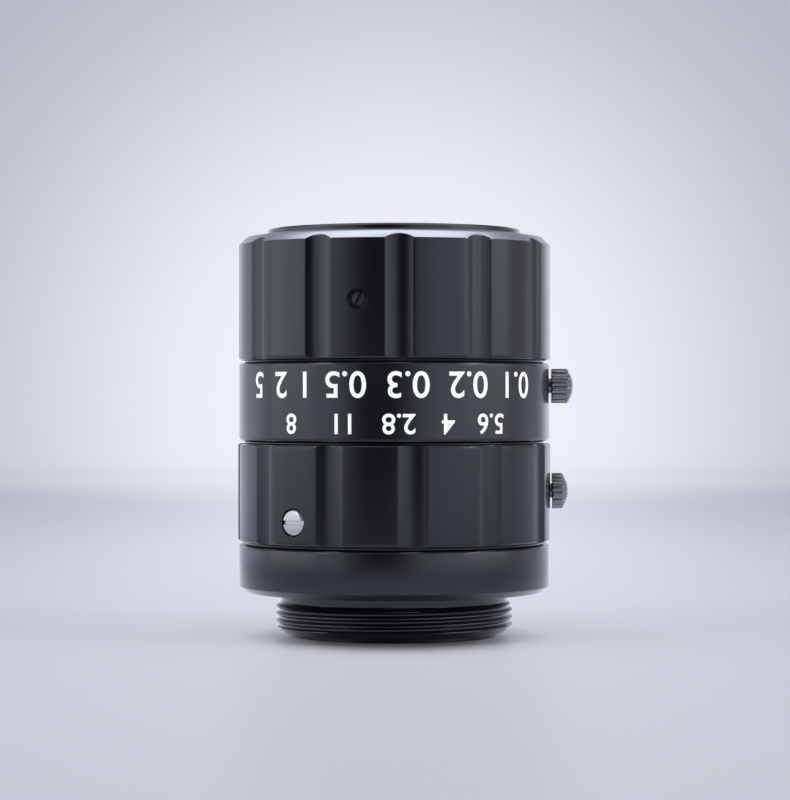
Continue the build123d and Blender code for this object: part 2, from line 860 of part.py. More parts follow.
# Iris drive ring: cam slots that swing the blades, and a fork for the drive pin
with BuildPart() as iris_drive_ring:
    with BuildSketch(Plane.XY.offset(drive_z0)):
        Circle(drive_ring_r)
        Circle(drive_ring_bore, mode=Mode.SUBTRACT)
    extrude(amount=drive_ring_t)
    steps = 6
    cam_path = [cam_point(blade_turn_total * step / steps) for step in range(steps + 1)]
    cam_slot_w = 2 * (cam_pin_r + pin_socket_gap)
    with BuildSketch(Plane.XY.offset(drive_z0 - overcut)) as cam_slot:
        with BuildLine():
            path = Spline(*cam_path)
        trace(path, line_width=cam_slot_w)
        with Locations(cam_path[0], cam_path[-1]):
            Circle(cam_slot_w / 2 + pin_socket_gap)
    for index in range(blade_count):
        turned_slot = cam_slot.sketch.rotate(Axis.Z, index * 360 / blade_count)
        extrude(turned_slot, amount=drive_ring_t + 2 * overcut, mode=Mode.SUBTRACT)
    # the fork hangs from the rim and keeps its grip on the pin over the whole focus travel
    fork_angle = azimuth_angle(drive_pin_azimuth)
    fork = sector(
        drive_ring_r - finger_wall,
        drive_ring_r,
        fork_angle - finger_half_angle,
        2 * finger_half_angle,
        drive_z0 + drive_ring_t / 2,
    )
    extrude(fork, amount=-fork_reach - drive_ring_t / 2)
    fork_plane = radial_plane(drive_pin_azimuth, drive_ring_r - overcut, pin_z)
    fork_slot_reach = focus_travel + 2 * drive_pin_r + window_slack
    with BuildSketch(fork_plane):
        Circle(drive_pin_r + pin_socket_gap)
        with Locations((0, -fork_slot_reach / 2)):
            Rectangle(2 * (drive_pin_r + pin_socket_gap), fork_slot_reach)
    extrude(amount=2 * overcut, mode=Mode.SUBTRACT)
write(iris_drive_ring, "iris_drive_ring")


def bar(start, end, width):
    # a rounded bar between two points of a sketch
    run = Vector(*end) - Vector(*start)
    middle = (Vector(*end) + Vector(*start)) / 2
    with Locations((middle.X, middle.Y)):
        SlotCenterToCenter(run.length, width, rotation=math.degrees(math.atan2(run.Y, run.X)))


def iris_blade(index):
    # one leaf, drawn from its own pivot, with the optical axis on its -X side
    angle = index * 360 / blade_count
    leaf_z = blade_z0 + index * blade_pitch
    turn = math.radians(angle + blade_turn_rest)
    pivot_x = pivot_circle_r * math.cos(math.radians(angle))
    pivot_y = pivot_circle_r * math.sin(math.radians(angle))
    leaf_plane = Plane(
        origin=(pivot_x, pivot_y, leaf_z),
        x_dir=(math.cos(turn), math.sin(turn), 0),
        z_dir=(0, 0, 1),
    )
    arm = math.radians(cam_arm_angle)
    cam = (cam_arm * math.cos(arm), cam_arm * math.sin(arm))
    centre = (-pivot_circle_r, 0)
    with BuildPart() as blade:
        with BuildSketch(leaf_plane):
            with BuildLine():
                inner = CenterArc(centre, stop_r, blade_start_angle, blade_sweep_angle)
                outer = CenterArc(centre, stop_r + blade_w, blade_start_angle, blade_sweep_angle)
                Line(inner @ 0, outer @ 0)
                Line(inner @ 1, outer @ 1)
            make_face()
            bar((stop_r + blade_w / 2 - pivot_circle_r, 0), (0, 0), 4 * pivot_pin_r)
            bar((0, 0), cam, 4 * cam_pin_r)
        extrude(amount=blade_t)
        with BuildSketch(leaf_plane):
            Circle(pivot_pin_r)
        extrude(amount=web_z0 + pivot_socket - running_gap - leaf_z)
        with BuildSketch(leaf_plane):
            with Locations(cam):
                Circle(cam_pin_r)
        extrude(amount=drive_z0 + running_gap - leaf_z)
    return blade


for index in range(blade_count):
    write(iris_blade(index), f"iris_blade_{index + 1}")


def lock_screw(height, shank_start, head_start, head_r, head_h):
    # thumb screw along +X with a knurled head that ends in a low dome
    bevel = edge_break / 2
    side = Plane(origin=(0, 0, height), x_dir=(1, 0, 0), z_dir=(0, -1, 0))
    head_end = head_start + head_h
    dome_start = head_end - lock_dome_h
    dome_middle = (dome_start + half_way(head_r, lock_dome_h), head_r / 2)
    with BuildPart() as screw:
        with BuildSketch(side):
            with BuildLine():
                Polyline(
                    (shank_start, 0),
                    (shank_start, lock_shank_r - bevel),
                    (shank_start + bevel, lock_shank_r),
                    (head_start, lock_shank_r),
                    (head_start, head_r - bevel),
                    (head_start + bevel, head_r),
                    (dome_start, head_r),
                )
                ThreePointArc((dome_start, head_r), dome_middle, (head_end, 0))
                Line((head_end, 0), (shank_start, 0))
            make_face()
        revolve(axis=Axis((0, 0, height), (1, 0, 0)))
        with BuildSketch(Plane(origin=(head_start, 0, height), x_dir=(0, 1, 0), z_dir=(1, 0, 0))):
            with PolarLocations(head_r + knurl_r - knurl_depth, knurl_count):
                Circle(knurl_r)
        extrude(amount=head_h, mode=Mode.SUBTRACT)
    return screw


def lock_tip(height, tip_start):
    # nylon plug ahead of a lock screw, so that the metal is not marked
    with BuildPart() as tip:
        with BuildSketch(Plane(origin=(tip_start, 0, height), x_dir=(0, 1, 0), z_dir=(1, 0, 0))):
            Circle(lock_tip_r)
        extrude(amount=lock_tip_h)
    return tip


# Focus lock: thumb screw through the label band, bearing on the sleeve
focus_tip_start = sleeve_r + seat_gap
write(lock_tip(focus_lock_z, focus_tip_start), "focus_lock_tip")
write(
    lock_screw(
        focus_lock_z,
        focus_tip_start + lock_tip_h + seat_gap,
        label_r + focus_lock_stand_off,
        focus_lock_head_r,
        focus_lock_head_h,
    ),
    "focus_lock_screw",
)

# Iris lock: thumb screw through the iris ring, bearing on the barrel extension
iris_tip_start = extension_r + seat_gap
write(lock_tip(iris_lock_z, iris_tip_start), "iris_lock_tip")
write(
    lock_screw(
        iris_lock_z,
        iris_tip_start + lock_tip_h + seat_gap,
        iris_ring_r + iris_lock_stand_off,
        iris_lock_head_r,
        iris_lock_head_h,
    ),
    "iris_lock_screw",
)
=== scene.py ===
import json
import math

import bmesh
import bpy
from mathutils import Matrix, Vector


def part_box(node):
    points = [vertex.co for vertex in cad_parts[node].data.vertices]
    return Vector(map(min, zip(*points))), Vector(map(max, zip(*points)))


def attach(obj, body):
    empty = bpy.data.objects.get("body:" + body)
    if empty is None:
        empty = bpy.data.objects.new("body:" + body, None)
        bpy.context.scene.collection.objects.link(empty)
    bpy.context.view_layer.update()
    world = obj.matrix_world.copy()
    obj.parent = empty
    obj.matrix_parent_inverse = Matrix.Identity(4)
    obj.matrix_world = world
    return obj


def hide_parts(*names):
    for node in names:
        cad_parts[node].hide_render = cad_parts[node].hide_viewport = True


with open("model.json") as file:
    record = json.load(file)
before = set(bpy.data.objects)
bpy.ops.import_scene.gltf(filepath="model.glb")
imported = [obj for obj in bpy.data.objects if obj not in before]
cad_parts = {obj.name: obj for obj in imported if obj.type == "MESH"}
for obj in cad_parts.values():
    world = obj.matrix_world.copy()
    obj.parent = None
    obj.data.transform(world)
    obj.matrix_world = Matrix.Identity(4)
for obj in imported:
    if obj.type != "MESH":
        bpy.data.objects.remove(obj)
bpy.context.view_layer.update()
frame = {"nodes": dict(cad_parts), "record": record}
print("frame loaded:", len(frame["nodes"]), "nodes")

mm = 0.001
fullTurn = 2 * math.pi
zUp = Vector((0, 0, 1))
upright = Matrix.Identity(4)


# Places

def values(settings, names):
    return [settings[name] for name in names.split()]


def nodeBox(node):
    # a CAD node's lowest and highest corner, in millimetres
    low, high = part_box(node)
    return low / mm, high / mm


def outward(azimuth):
    # azimuth 0 faces the camera (-Y), 90 faces +X
    a = math.radians(azimuth)
    return Vector((math.sin(a), -math.cos(a), 0))


def radialPlace(azimuth, radius, height):
    # turns a shape that stands along +Z so that it points outwards from the axis
    out = outward(azimuth)
    side = zUp.cross(out)
    turn = Matrix((side, out.cross(side), out)).transposed()
    return Matrix.Translation(out * radius + zUp * height) @ turn.to_4x4()


# Mesh helpers, all in millimetres until asObject

weld, cutDist = 0.0005, 0.0001  # how near points count as one, and as lying on a cut


def spun(bm, verts, edges, steps, rise=0.0, merge=True):
    # sweeps a profile once round the axis, climbing by the given rise in each step
    bmesh.ops.spin(
        bm, geom=verts + edges, cent=(0, 0, 0), axis=(0, 0, 1), dvec=(0, 0, rise),
        angle=fullTurn, steps=steps, use_merge=merge, use_normal_flip=False,
        use_duplicate=False,
    )


def lathe(bm, profile, steps, closed=True):
    # turns a profile of (radius, height) points about the axis
    verts = [bm.verts.new((r, 0, z)) for r, z in profile]
    pairs = list(zip(verts, verts[1:]))
    if closed:
        pairs.append((verts[-1], verts[0]))
    spun(bm, verts, [bm.edges.new(p) for p in pairs], steps)
    bmesh.ops.remove_doubles(bm, verts=bm.verts, dist=weld)


def fluteRadius(angle, ring):
    # how far the outline of a fluted ring lies from the axis at one angle
    step = fullTurn / ring["count"]
    near = (angle - math.radians(ring["turn"] - 90) + step / 2) % step - step / 2
    centre = ring["radius"] + ring["offset"]
    reach = ring["cutter"] ** 2 - (centre * math.sin(near)) ** 2
    if reach <= 0:
        return ring["radius"]
    return min(ring["radius"], centre * math.cos(near) - math.sqrt(reach))


def fluteAngles(ring):
    # angles of one whole turn, with a point on each flute edge
    radius, cutter = ring["radius"], ring["cutter"]
    centre = radius + ring["offset"]
    edge = math.acos((centre**2 + radius**2 - cutter**2) / (2 * centre * radius))
    cutterEdge = math.asin(radius * math.sin(edge) / cutter)
    step = fullTurn / ring["count"]
    angles = []
    for k in range(ring["count"]):
        middle = math.radians(ring["turn"] - 90) + k * step
        for i in range(ring["fluteSteps"] + 1):
            t = cutterEdge * (2 * i / ring["fluteSteps"] - 1)
            x, y = centre - cutter * math.cos(t), cutter * math.sin(t)
            angles.append(middle + math.atan2(y, x))
        for i in range(1, ring["landSteps"]):
            angles.append(middle + edge + (step - 2 * edge) * i / ring["landSteps"])
    return angles


def wallRows(low, high, count):
    # heights up a wall, with a close row at each end that keeps its shading even
    inset = 0.25
    step = (high - low - 2 * inset) / count
    return [low, *[low + inset + step * i for i in range(count + 1)], high]


def loftRing(bm, sections, ring):
    # a turned ring whose outer wall is cut back by flutes, section by section
    angles = fluteAngles(ring)

    def spot(angle, section):
        limit = fluteRadius(angle, ring)
        r = min(section[0], limit)
        rise = (section[0] - r) * section[2] if len(section) > 2 else 0
        return Vector((r * math.cos(angle), r * math.sin(angle), section[1] + rise))

    verts = [bm.verts.new(spot(a, sections[0])) for a in angles]
    loop = [bm.edges.new((a, b)) for a, b in zip(verts, verts[1:] + verts[:1])]
    for section in sections[1:] + sections[:1]:
        made = bmesh.ops.extrude_edge_only(bm, edges=loop)["geom"]
        loop = [e for e in made if isinstance(e, bmesh.types.BMEdge)]
        fresh = {v for v in made if isinstance(v, bmesh.types.BMVert)}
        loop = [e for e in loop if e.verts[0] in fresh and e.verts[1] in fresh]
        for v in fresh:
            v.co = spot(math.atan2(v.co.y, v.co.x), section)
    bmesh.ops.remove_doubles(bm, verts=bm.verts, dist=weld)


def softenEdges(bm, width):
    # small rounds on the sharp edges, so that they catch the light
    bmesh.ops.recalc_face_normals(bm, faces=bm.faces)
    sharpFrom = math.radians(28)
    sharp = [e for e in bm.edges if len(e.link_faces) == 2 and e.calc_face_angle(0) > sharpFrom]
    bmesh.ops.bevel(
        bm, geom=sharp, offset=width, offset_type="OFFSET", segments=3,
        profile=0.5, affect="EDGES", clamp_overlap=True, material=-1,
    )


def placed(bm, place):
    bmesh.ops.transform(bm, matrix=place, verts=bm.verts)
    return bm


def pour(bm, whole):
    # moves one mesh in the making into another
    mesh = bpy.data.meshes.new("poured")
    bm.to_mesh(mesh)
    bm.free()
    whole.from_mesh(mesh)
    bpy.data.meshes.remove(mesh)


def asObject(bm, name):
    bmesh.ops.scale(bm, vec=(mm, mm, mm), verts=bm.verts)
    mesh = bpy.data.meshes.new(name)
    bm.to_mesh(mesh)
    bm.free()
    piece = bpy.data.objects.new(name, mesh)
    bpy.context.scene.collection.objects.link(piece)
    return piece


def cutAway(piece, cutters):
    # removes each cutter's shape from a piece and leaves no modifier behind
    tools = [asObject(bm, piece.name + "Cutter") for bm in cutters]
    for tool in tools:
        cut = piece.modifiers.new("cut", "BOOLEAN")
        cut.operation, cut.solver, cut.object = "DIFFERENCE", "EXACT", tool
    graph = bpy.context.evaluated_depsgraph_get()
    mesh = bpy.data.meshes.new_from_object(piece.evaluated_get(graph))
    piece.modifiers.clear()
    old, piece.data = piece.data, mesh
    bpy.data.meshes.remove(old)
    mesh.name = piece.name
    for tool in tools:
        data = tool.data
        bpy.data.objects.remove(tool)
        bpy.data.meshes.remove(data)


def turnedPiece(name, profile, steps=128, closed=True, soft=0.0, place=upright):
    # a lathed piece, with rounded edges where a width is given
    bm = bmesh.new()
    lathe(bm, profile, steps, closed)
    if soft:
        softenEdges(bm, soft)
    else:
        bmesh.ops.recalc_face_normals(bm, faces=bm.faces)
    return asObject(placed(bm, place), name)


def dress(piece, body, nodes, materials, sharp=32):
    # smooth shading, finish, and the body that carries the piece
    mesh = piece.data
    mesh.polygons.foreach_set("use_smooth", [True] * len(mesh.polygons))
    mesh.set_sharp_from_angle(angle=math.radians(sharp))
    if len(mesh.materials):
        for i, material in enumerate(materials):
            mesh.materials[i] = material
    else:
        for material in materials:
            mesh.materials.append(material)
    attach(piece, body)
    if nodes:
        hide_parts(*nodes)


def disc(radius, low, high, place, topRadius=None):
    # a plain round cutter along Z
    bm = bmesh.new()
    bmesh.ops.create_cone(
        bm, cap_ends=True, segments=48, radius1=radius,
        radius2=radius if topRadius is None else topRadius, depth=high - low,
        matrix=Matrix.Translation((0, 0, (low + high) / 2)),
    )
    return placed(bm, place)


def block(sizeX, sizeY, low, high, place=upright, turn=0):
    # a plain square cutter along Z
    bm = bmesh.new()
    shape = Matrix.Diagonal((sizeX, sizeY, high - low, 1))
    middle = Matrix.Translation((0, 0, (low + high) / 2))
    bmesh.ops.create_cube(bm, size=1, matrix=middle @ shape)
    bmesh.ops.rotate(bm, verts=bm.verts, cent=(0, 0, 0), matrix=Matrix.Rotation(turn, 3, "Z"))
    return placed(bm, place)


# Materials

def newMaterial(name):
    material = bpy.data.materials.new(name)
    material.use_nodes = True
    tree = material.node_tree
    tree.nodes.clear()
    output = tree.nodes.new("ShaderNodeOutputMaterial")
    shader = tree.nodes.new("ShaderNodeBsdfPrincipled")
    tree.links.new(shader.outputs["BSDF"], output.inputs["Surface"])
    return material, tree, shader


def feed(tree, socket, term):
    # an input takes a number, a colour or another node's output
    if isinstance(term, bpy.types.NodeSocket):
        tree.links.new(term, socket)
    elif socket.type == "RGBA":
        socket.default_value = (*term, 1)
    else:
        socket.default_value = term


def addNode(tree, kind, inputs, **choices):
    # one node with its choices made and its inputs fed, returned as its outputs
    node = tree.nodes.new(kind)
    for key, choice in choices.items():
        setattr(node, key, choice)
    for key, term in inputs.items():
        feed(tree, node.inputs[key], term)
    return node.outputs


def objectPlace(tree):
    return addNode(tree, "ShaderNodeTexCoord", {})["Object"]


def splitPlace(tree):
    return addNode(tree, "ShaderNodeSeparateXYZ", {"Vector": objectPlace(tree)})


def built(tree, **parts):
    # a vector from its X, Y and Z
    return addNode(tree, "ShaderNodeCombineXYZ", parts)["Vector"]


def lengthOf(tree, vector):
    return addNode(tree, "ShaderNodeVectorMath", {0: vector}, operation="LENGTH")["Value"]


def mixedColour(tree, factor, first, second, blend="MIX"):
    inputs = {"Factor": factor, "A": first, "B": second}
    return addNode(tree, "ShaderNodeMix", inputs, data_type="RGBA", blend_type=blend)["Result"]


def picked(tree, factor, first, second):
    # the first value where the factor is 0, the second where it is 1
    return addNode(tree, "ShaderNodeMix", {"Factor": factor, "A": first, "B": second})["Result"]


def joined(tree, operation, first, second):
    # sum, product or the like of two values
    return addNode(tree, "ShaderNodeMath", {0: first, 1: second}, operation=operation)["Value"]


def mapped(tree, value, low, high, fromLow=0.0, fromHigh=1.0, kind="LINEAR"):
    inputs = {
        "Value": value, "From Min": fromLow, "From Max": fromHigh, "To Min": low, "To Max": high,
    }
    return addNode(tree, "ShaderNodeMapRange", inputs, interpolation_type=kind)["Result"]


def eased(tree, value, fromLow, fromHigh):
    # a soft step from 0 to 1
    return mapped(tree, value, 0, 1, fromLow, fromHigh, "SMOOTHSTEP")


def mixedShader(tree, factor, first, second):
    return addNode(tree, "ShaderNodeMixShader", {"Fac": factor, 1: first, 2: second})["Shader"]


def noiseOn(tree, place, scale, detail=2.0, rough=0.5):
    inputs = {"Vector": place, "Scale": scale, "Detail": detail, "Roughness": rough}
    return addNode(tree, "ShaderNodeTexNoise", inputs)["Fac"]


def bumpInto(tree, shader, height, strength, distance, before=None):
    inputs = {"Height": height, "Strength": strength, "Distance": distance}
    if before is not None:
        inputs["Normal"] = before
    normal = addNode(tree, "ShaderNodeBump", inputs)["Normal"]
    feed(tree, shader.inputs["Normal"], normal)
    return normal


def paintOver(tree, shader, pattern, look, span):
    # a pattern varies the colour and the roughness
    colour = mixedColour(tree, pattern, look["dark"], look["light"])
    feed(tree, shader.inputs["Base Color"], colour)
    rough = mapped(tree, pattern, look["roughLow"], look["roughHigh"], *span)
    feed(tree, shader.inputs["Roughness"], rough)
    for key, value in look["sockets"].items():
        feed(tree, shader.inputs[key], value)


midSpan, fullSpan = (0.3, 0.7), (0.0, 1.0)  # how much of a pattern the roughness follows
grainRelief = 0.000002  # metres
anodisedLook = {
    "dark": (0.0042, 0.0045, 0.0058), "light": (0.0062, 0.0066, 0.0084),
    "roughLow": 0.17, "roughHigh": 0.23, "cloud": 160.0, "cloudDetail": 3.0,
    "grain": 7000.0, "grainDetail": 2.0, "grainRough": 0.6, "grainBump": 0.5,
    "grainDepth": 0.0000008, "lathePitch": 0.00009, "latheDetail": 1.0, "latheDepth": 0.0000006,
    "sockets": {"IOR": 1.5, "Specular Tint": (0.84, 0.9, 1.0)},
}
gripLook = {**anodisedLook, "sockets": {"IOR": 1.5, "Specular Tint": (0.68, 0.73, 0.82)}}
innerLook = {**anodisedLook, "roughLow": 0.5, "roughHigh": 0.62}


def anodisedBlack(name, look, turned=0.0):
    # dyed anodic film: near black, satin, with a fine blasted grain and faint lathe lines
    material, tree, shader = newMaterial(name)
    place = objectPlace(tree)
    cloud = noiseOn(tree, place, look["cloud"], look["cloudDetail"])
    paintOver(tree, shader, cloud, look, midSpan)
    grain = noiseOn(tree, place, *values(look, "grain grainDetail grainRough"))
    normal = bumpInto(tree, shader, grain, *values(look, "grainBump grainDepth"))
    if turned:
        height = built(tree, Z=splitPlace(tree)["Z"])
        lines = noiseOn(tree, height, 1 / look["lathePitch"], look["latheDetail"])
        bumpInto(tree, shader, lines, turned, look["latheDepth"], normal)
    return material


aluminiumLook = {
    "dark": (0.33, 0.355, 0.405), "light": (0.41, 0.435, 0.48), "roughLow": 0.24, "roughHigh": 0.36,
    "rings": 14000.0, "bump": 0.5, "depth": 0.0000015,
    "sockets": {"Metallic": 1.0, "Anisotropic": 0.35},
}


def bareAluminium(name, look):
    # freshly cut aluminium with the fine rings that the tool leaves
    material, tree, shader = newMaterial(name)
    place = splitPlace(tree)
    flat = built(tree, X=place["X"], Y=place["Y"])
    reach = lengthOf(tree, flat)
    rings = noiseOn(tree, built(tree, X=reach), look["rings"])
    paintOver(tree, shader, rings, look, midSpan)
    bumpInto(tree, shader, rings, look["bump"], look["depth"])
    return material


def speckled(name, look):
    # one fine grain varies the colour, the roughness and, where it has any, the relief
    material, tree, shader = newMaterial(name)
    grain = noiseOn(tree, objectPlace(tree), look["grain"], look["detail"])
    paintOver(tree, shader, grain, look, look["span"])
    if look["bump"]:
        bumpInto(tree, shader, grain, look["bump"], grainRelief)
    return material


def steel(name, dark, light, roughLow, roughHigh, metallic=1.0):
    # small turned screws and leaves
    return speckled(name, {
        "dark": dark, "light": light, "roughLow": roughLow, "roughHigh": roughHigh, "span": midSpan,
        "grain": 5200.0, "detail": 3.0, "bump": 0.4, "sockets": {"Metallic": metallic},
    })


def coatedGlass(name, film):
    # clear glass whose coating gives a coloured reflection
    return speckled(name, {
        "dark": (0.96, 0.985, 0.975), "light": (0.98, 0.99, 0.985), "roughLow": 0.0,
        "roughHigh": 0.012, "span": fullSpan, "grain": 300.0, "detail": 2.0, "bump": 0,
        "sockets": {
            "Transmission Weight": 1.0, "IOR": 1.6,
            "Thin Film Thickness": film, "Thin Film IOR": 1.38,
        },
    })


inkLook = {  # matt ink that fills the engraved characters
    "dark": (0.93, 0.94, 0.95), "light": (0.98, 0.98, 0.98), "roughLow": 0.5, "roughHigh": 0.62,
    "span": fullSpan, "grain": 6000.0, "detail": 3.0, "bump": 0.3, "sockets": {},
}
nylonLook = {
    "dark": (0.74, 0.73, 0.68), "light": (0.82, 0.81, 0.77), "roughLow": 0.38, "roughHigh": 0.5,
    "span": fullSpan, "grain": 2500.0, "detail": 3.0, "bump": 0,
    "sockets": {"Subsurface Weight": 0.1, "Subsurface Scale": 0.0005},
}
gripBlack = anodisedBlack("gripBlackAnodised", gripLook)
turnedBlack = anodisedBlack("turnedBlackAnodised", anodisedLook, turned=0.5)
innerBlack = anodisedBlack("innerMattBlack", innerLook)
cutAluminium = bareAluminium("cutAluminium", aluminiumLook)
brightSteel = steel("brightScrewSteel", (0.33, 0.34, 0.36), (0.45, 0.46, 0.48), 0.24, 0.36)
# painted shade for the walls of the drive screw's slot
slotShadeSteel = steel("screwSlotShadeSteel", (0.05, 0.052, 0.056), (0.09, 0.093, 0.098), 0.4, 0.5)
blackSteel = steel("blackScrewSteel", (0.008, 0.008, 0.01), (0.016, 0.016, 0.018), 0.26, 0.38, 0.0)
thumbSteel = steel("thumbScrewSteel", (0.135, 0.14, 0.153), (0.205, 0.211, 0.228), 0.17, 0.26)
bladeSteel = steel("irisBladeSteel", (0.03, 0.03, 0.033), (0.05, 0.05, 0.055), 0.42, 0.55)
whiteInk = speckled("whiteInk", inkLook)
whiteNylon = speckled("whiteNylon", nylonLook)
outerGlass = coatedGlass("outerCoatedGlass", 420.0)
innerGlass = coatedGlass("innerCoatedGlass", 300.0)
print("materials made")


# Camera and stage

cameraSettings = {
    "distance": 301.0, "height": 25.2, "sideways": 0.09, "lens": 126.0, "sensor": 36.0,
    "clipNear": 0.01, "clipFar": 20,
}
baseLow, baseHigh = nodeBox("mount_base")
floorZ = baseLow.z


def makeCamera(settings):
    data = bpy.data.cameras.new("camera")
    data.lens, data.sensor_width = settings["lens"], settings["sensor"]
    data.clip_start, data.clip_end = settings["clipNear"], settings["clipFar"]
    camera = bpy.data.objects.new("camera", data)
    bpy.context.scene.collection.objects.link(camera)
    place = Vector((settings["sideways"], -settings["distance"], floorZ + settings["height"]))
    camera.location = place * mm
    camera.rotation_euler = (math.pi / 2, 0, 0)
    bpy.context.scene.camera = camera


makeCamera(cameraSettings)

stageSettings = {
    "wallY": 580.0, "size": 2600.0,
    # painted light: a glow on the backdrop, its centre height and reach
    "glowHeight": 25.0, "glowNear": 30.0, "glowFar": 185.0,
    "wallBright": (0.87, 0.89, 0.95), "wallDim": (0.47, 0.485, 0.56), "wallLit": (0.6, 0.61, 0.66),
    # painted shade at the foot of the backdrop: its darkness and height
    "wallFoot": 0.935, "footHeight": 8.0,
    "wallSides": [  # painted light: glow that reflections see, by the place across
        (-1300, 3.1), (-830, 2.6), (-490, 1.9), (-335, 2.3), (-180, 2.55), (-130, 1.0), (130, 1.0),
        (180, 2.77), (335, 2.77), (490, 1.8), (640, 1.3), (830, 1.3), (1300, 2.3),
    ],
    "sidesHigh": 0.8, "sidesFrom": 150.0, "sidesTo": 420.0,
    "floorBright": (0.82, 0.82, 0.87), "floorNear": (0.46, 0.46, 0.5), "nearAt": -260.0,
    "brightAt": 203.0, "farFrom": 280.0, "narrow": 2.0, "shadowShare": 0.38,
    "floorLit": (0.66, 0.665, 0.715), "floorRough": 0.35, "floorShine": 0.3,
    # painted shadow under the object: its darkness, reach, centre and squash across
    "shadeDark": 0.3, "shadeFrom": 10.0, "shadeTo": 25.0, "shadeAt": -4.0, "shadeAcross": 1.35,
    "goneFrom": 118.0, "goneTo": 270.0, "goneFront": 150.0,
    "floorBack": [  # painted light: glow that reflections see, by the depth
        (-600, 1.6), (-60, 1.6), (0, 1.9), (60, 2.2), (110, 2.4), (500, 3.3), (600, 3.3),
    ],
    "backHalf": 600.0, "topLevel": 4,
}


def stagePlane(name, corners, material):
    bm = bmesh.new()
    bm.faces.new([bm.verts.new(c) for c in corners])
    piece = asObject(bm, name)
    piece.data.materials.append(material)


def distanceFrom(tree, point, place):
    # how far a place is from a point, in metres
    inputs = {0: place, 1: point}
    offset = addNode(tree, "ShaderNodeVectorMath", inputs, operation="SUBTRACT")["Vector"]
    return lengthOf(tree, offset)


def levelAlong(tree, value, stops, half, unit, top, kind="LINEAR"):
    # a curve through (place, level) stops that lie between -half and half, for levels up to the top
    ramp = tree.nodes.new("ShaderNodeValToRGB")
    ramp.color_ramp.interpolation = kind
    elements = ramp.color_ramp.elements
    while len(elements) < len(stops):
        elements.new(0.5)
    for element, (place, level) in zip(elements, stops):
        element.position = (place + half) / (2 * half)
    for element, (place, level) in zip(elements, stops):
        element.color = (level / top, level / top, level / top, 1)
    feed(tree, ramp.inputs["Fac"], mapped(tree, value, 0, 1, -half * unit, half * unit))
    return joined(tree, "MULTIPLY", ramp.outputs["Color"], top)


def seenBy(tree):
    # 1 for reflections, and 1 for all that see the background: camera, reflections and glass
    path = addNode(tree, "ShaderNodeLightPath", {})
    direct = joined(tree, "MAXIMUM", path["Is Camera Ray"], path["Is Glossy Ray"])
    return path["Is Glossy Ray"], joined(tree, "MAXIMUM", direct, path["Is Transmission Ray"])


def glowing(tree, shader, colour, strength, share):
    # a surface that shows its own colour for the given share of its look
    glow = addNode(tree, "ShaderNodeEmission", {"Color": colour, "Strength": strength})["Emission"]
    return mixedShader(tree, share, shader.outputs["BSDF"], glow)


def setSurface(tree, look):
    output = next(n for n in tree.nodes if n.type == "OUTPUT_MATERIAL")
    feed(tree, output.inputs["Surface"], look)


def wallColour(tree, settings, place):
    # painted light: a pale glow behind the object that fades to the sides
    centre = (0, settings["wallY"] * mm, (floorZ + settings["glowHeight"]) * mm)
    away = distanceFrom(tree, centre, place)
    fade = eased(tree, away, settings["glowNear"] * mm, settings["glowFar"] * mm)
    return mixedColour(tree, fade, settings["wallBright"], settings["wallDim"])


def floorMaterial(settings):
    # pale, with painted shade that makes it a little darker towards the viewer, and as bright as
    # the backdrop where they meet
    material, tree, shader = newMaterial("paleFloor")
    place = splitPlace(tree)
    across, depth = place["X"], place["Y"]
    glossy, seen = seenBy(tree)
    # painted shade: the floor is darker towards the viewer
    near = eased(tree, depth, settings["nearAt"] * mm, settings["brightAt"] * mm)
    far = eased(tree, depth, settings["farFrom"] * mm, settings["wallY"] * mm)
    # painted light: the backdrop's glow also falls off across the floor, faster towards the front
    width = joined(tree, "MULTIPLY", across, mapped(tree, far, settings["narrow"], 1))
    spread = built(tree, X=width, Y=settings["wallY"] * mm, Z=floorZ * mm)
    level = mixedColour(tree, near, settings["floorNear"], settings["floorBright"])
    # far back the floor takes the backdrop's painted shade at its foot
    level = mixedColour(tree, far, level, (settings["wallFoot"],) * 3)
    colour = mixedColour(tree, 1.0, wallColour(tree, settings, spread), level, "MULTIPLY")

    # painted shadow: a soft dark patch under the object
    oval = joined(tree, "MULTIPLY", across, settings["shadeAcross"])
    under = built(tree, X=oval, Y=depth, Z=floorZ * mm)
    contact = distanceFrom(tree, (0, settings["shadeAt"] * mm, floorZ * mm), under)
    shade = eased(tree, contact, settings["shadeFrom"] * mm, settings["shadeTo"] * mm)
    lit = settings["floorLit"]
    dark = tuple(c * settings["shadeDark"] for c in lit)
    feed(tree, shader.inputs["Base Color"], mixedColour(tree, shade, dark, lit))
    feed(tree, shader.inputs["Roughness"], settings["floorRough"])
    feed(tree, shader.inputs["Specular IOR Level"], settings["floorShine"])
    share = joined(tree, "MULTIPLY", mapped(tree, far, 1 - settings["shadowShare"], 1), shade)
    share = picked(tree, glossy, joined(tree, "MULTIPLY", seen, share), shade)

    # painted light: reflections see it glow brighter at the back, and not at all far in front
    back = levelAlong(
        tree, depth, settings["floorBack"], settings["backHalf"], mm, settings["topLevel"]
    )
    look = glowing(tree, shader, colour, picked(tree, glossy, 1, back), share)
    away = distanceFrom(tree, (0, 0, floorZ * mm), objectPlace(tree))
    gone = eased(tree, away, settings["goneFrom"] * mm, settings["goneTo"] * mm)
    front = mapped(tree, depth, 1, 0, 0, settings["goneFront"] * mm)
    gone = joined(tree, "MULTIPLY", gone, joined(tree, "MULTIPLY", front, glossy))
    clear = addNode(tree, "ShaderNodeBsdfTransparent", {})["BSDF"]
    setSurface(tree, mixedShader(tree, gone, look, clear))
    return material


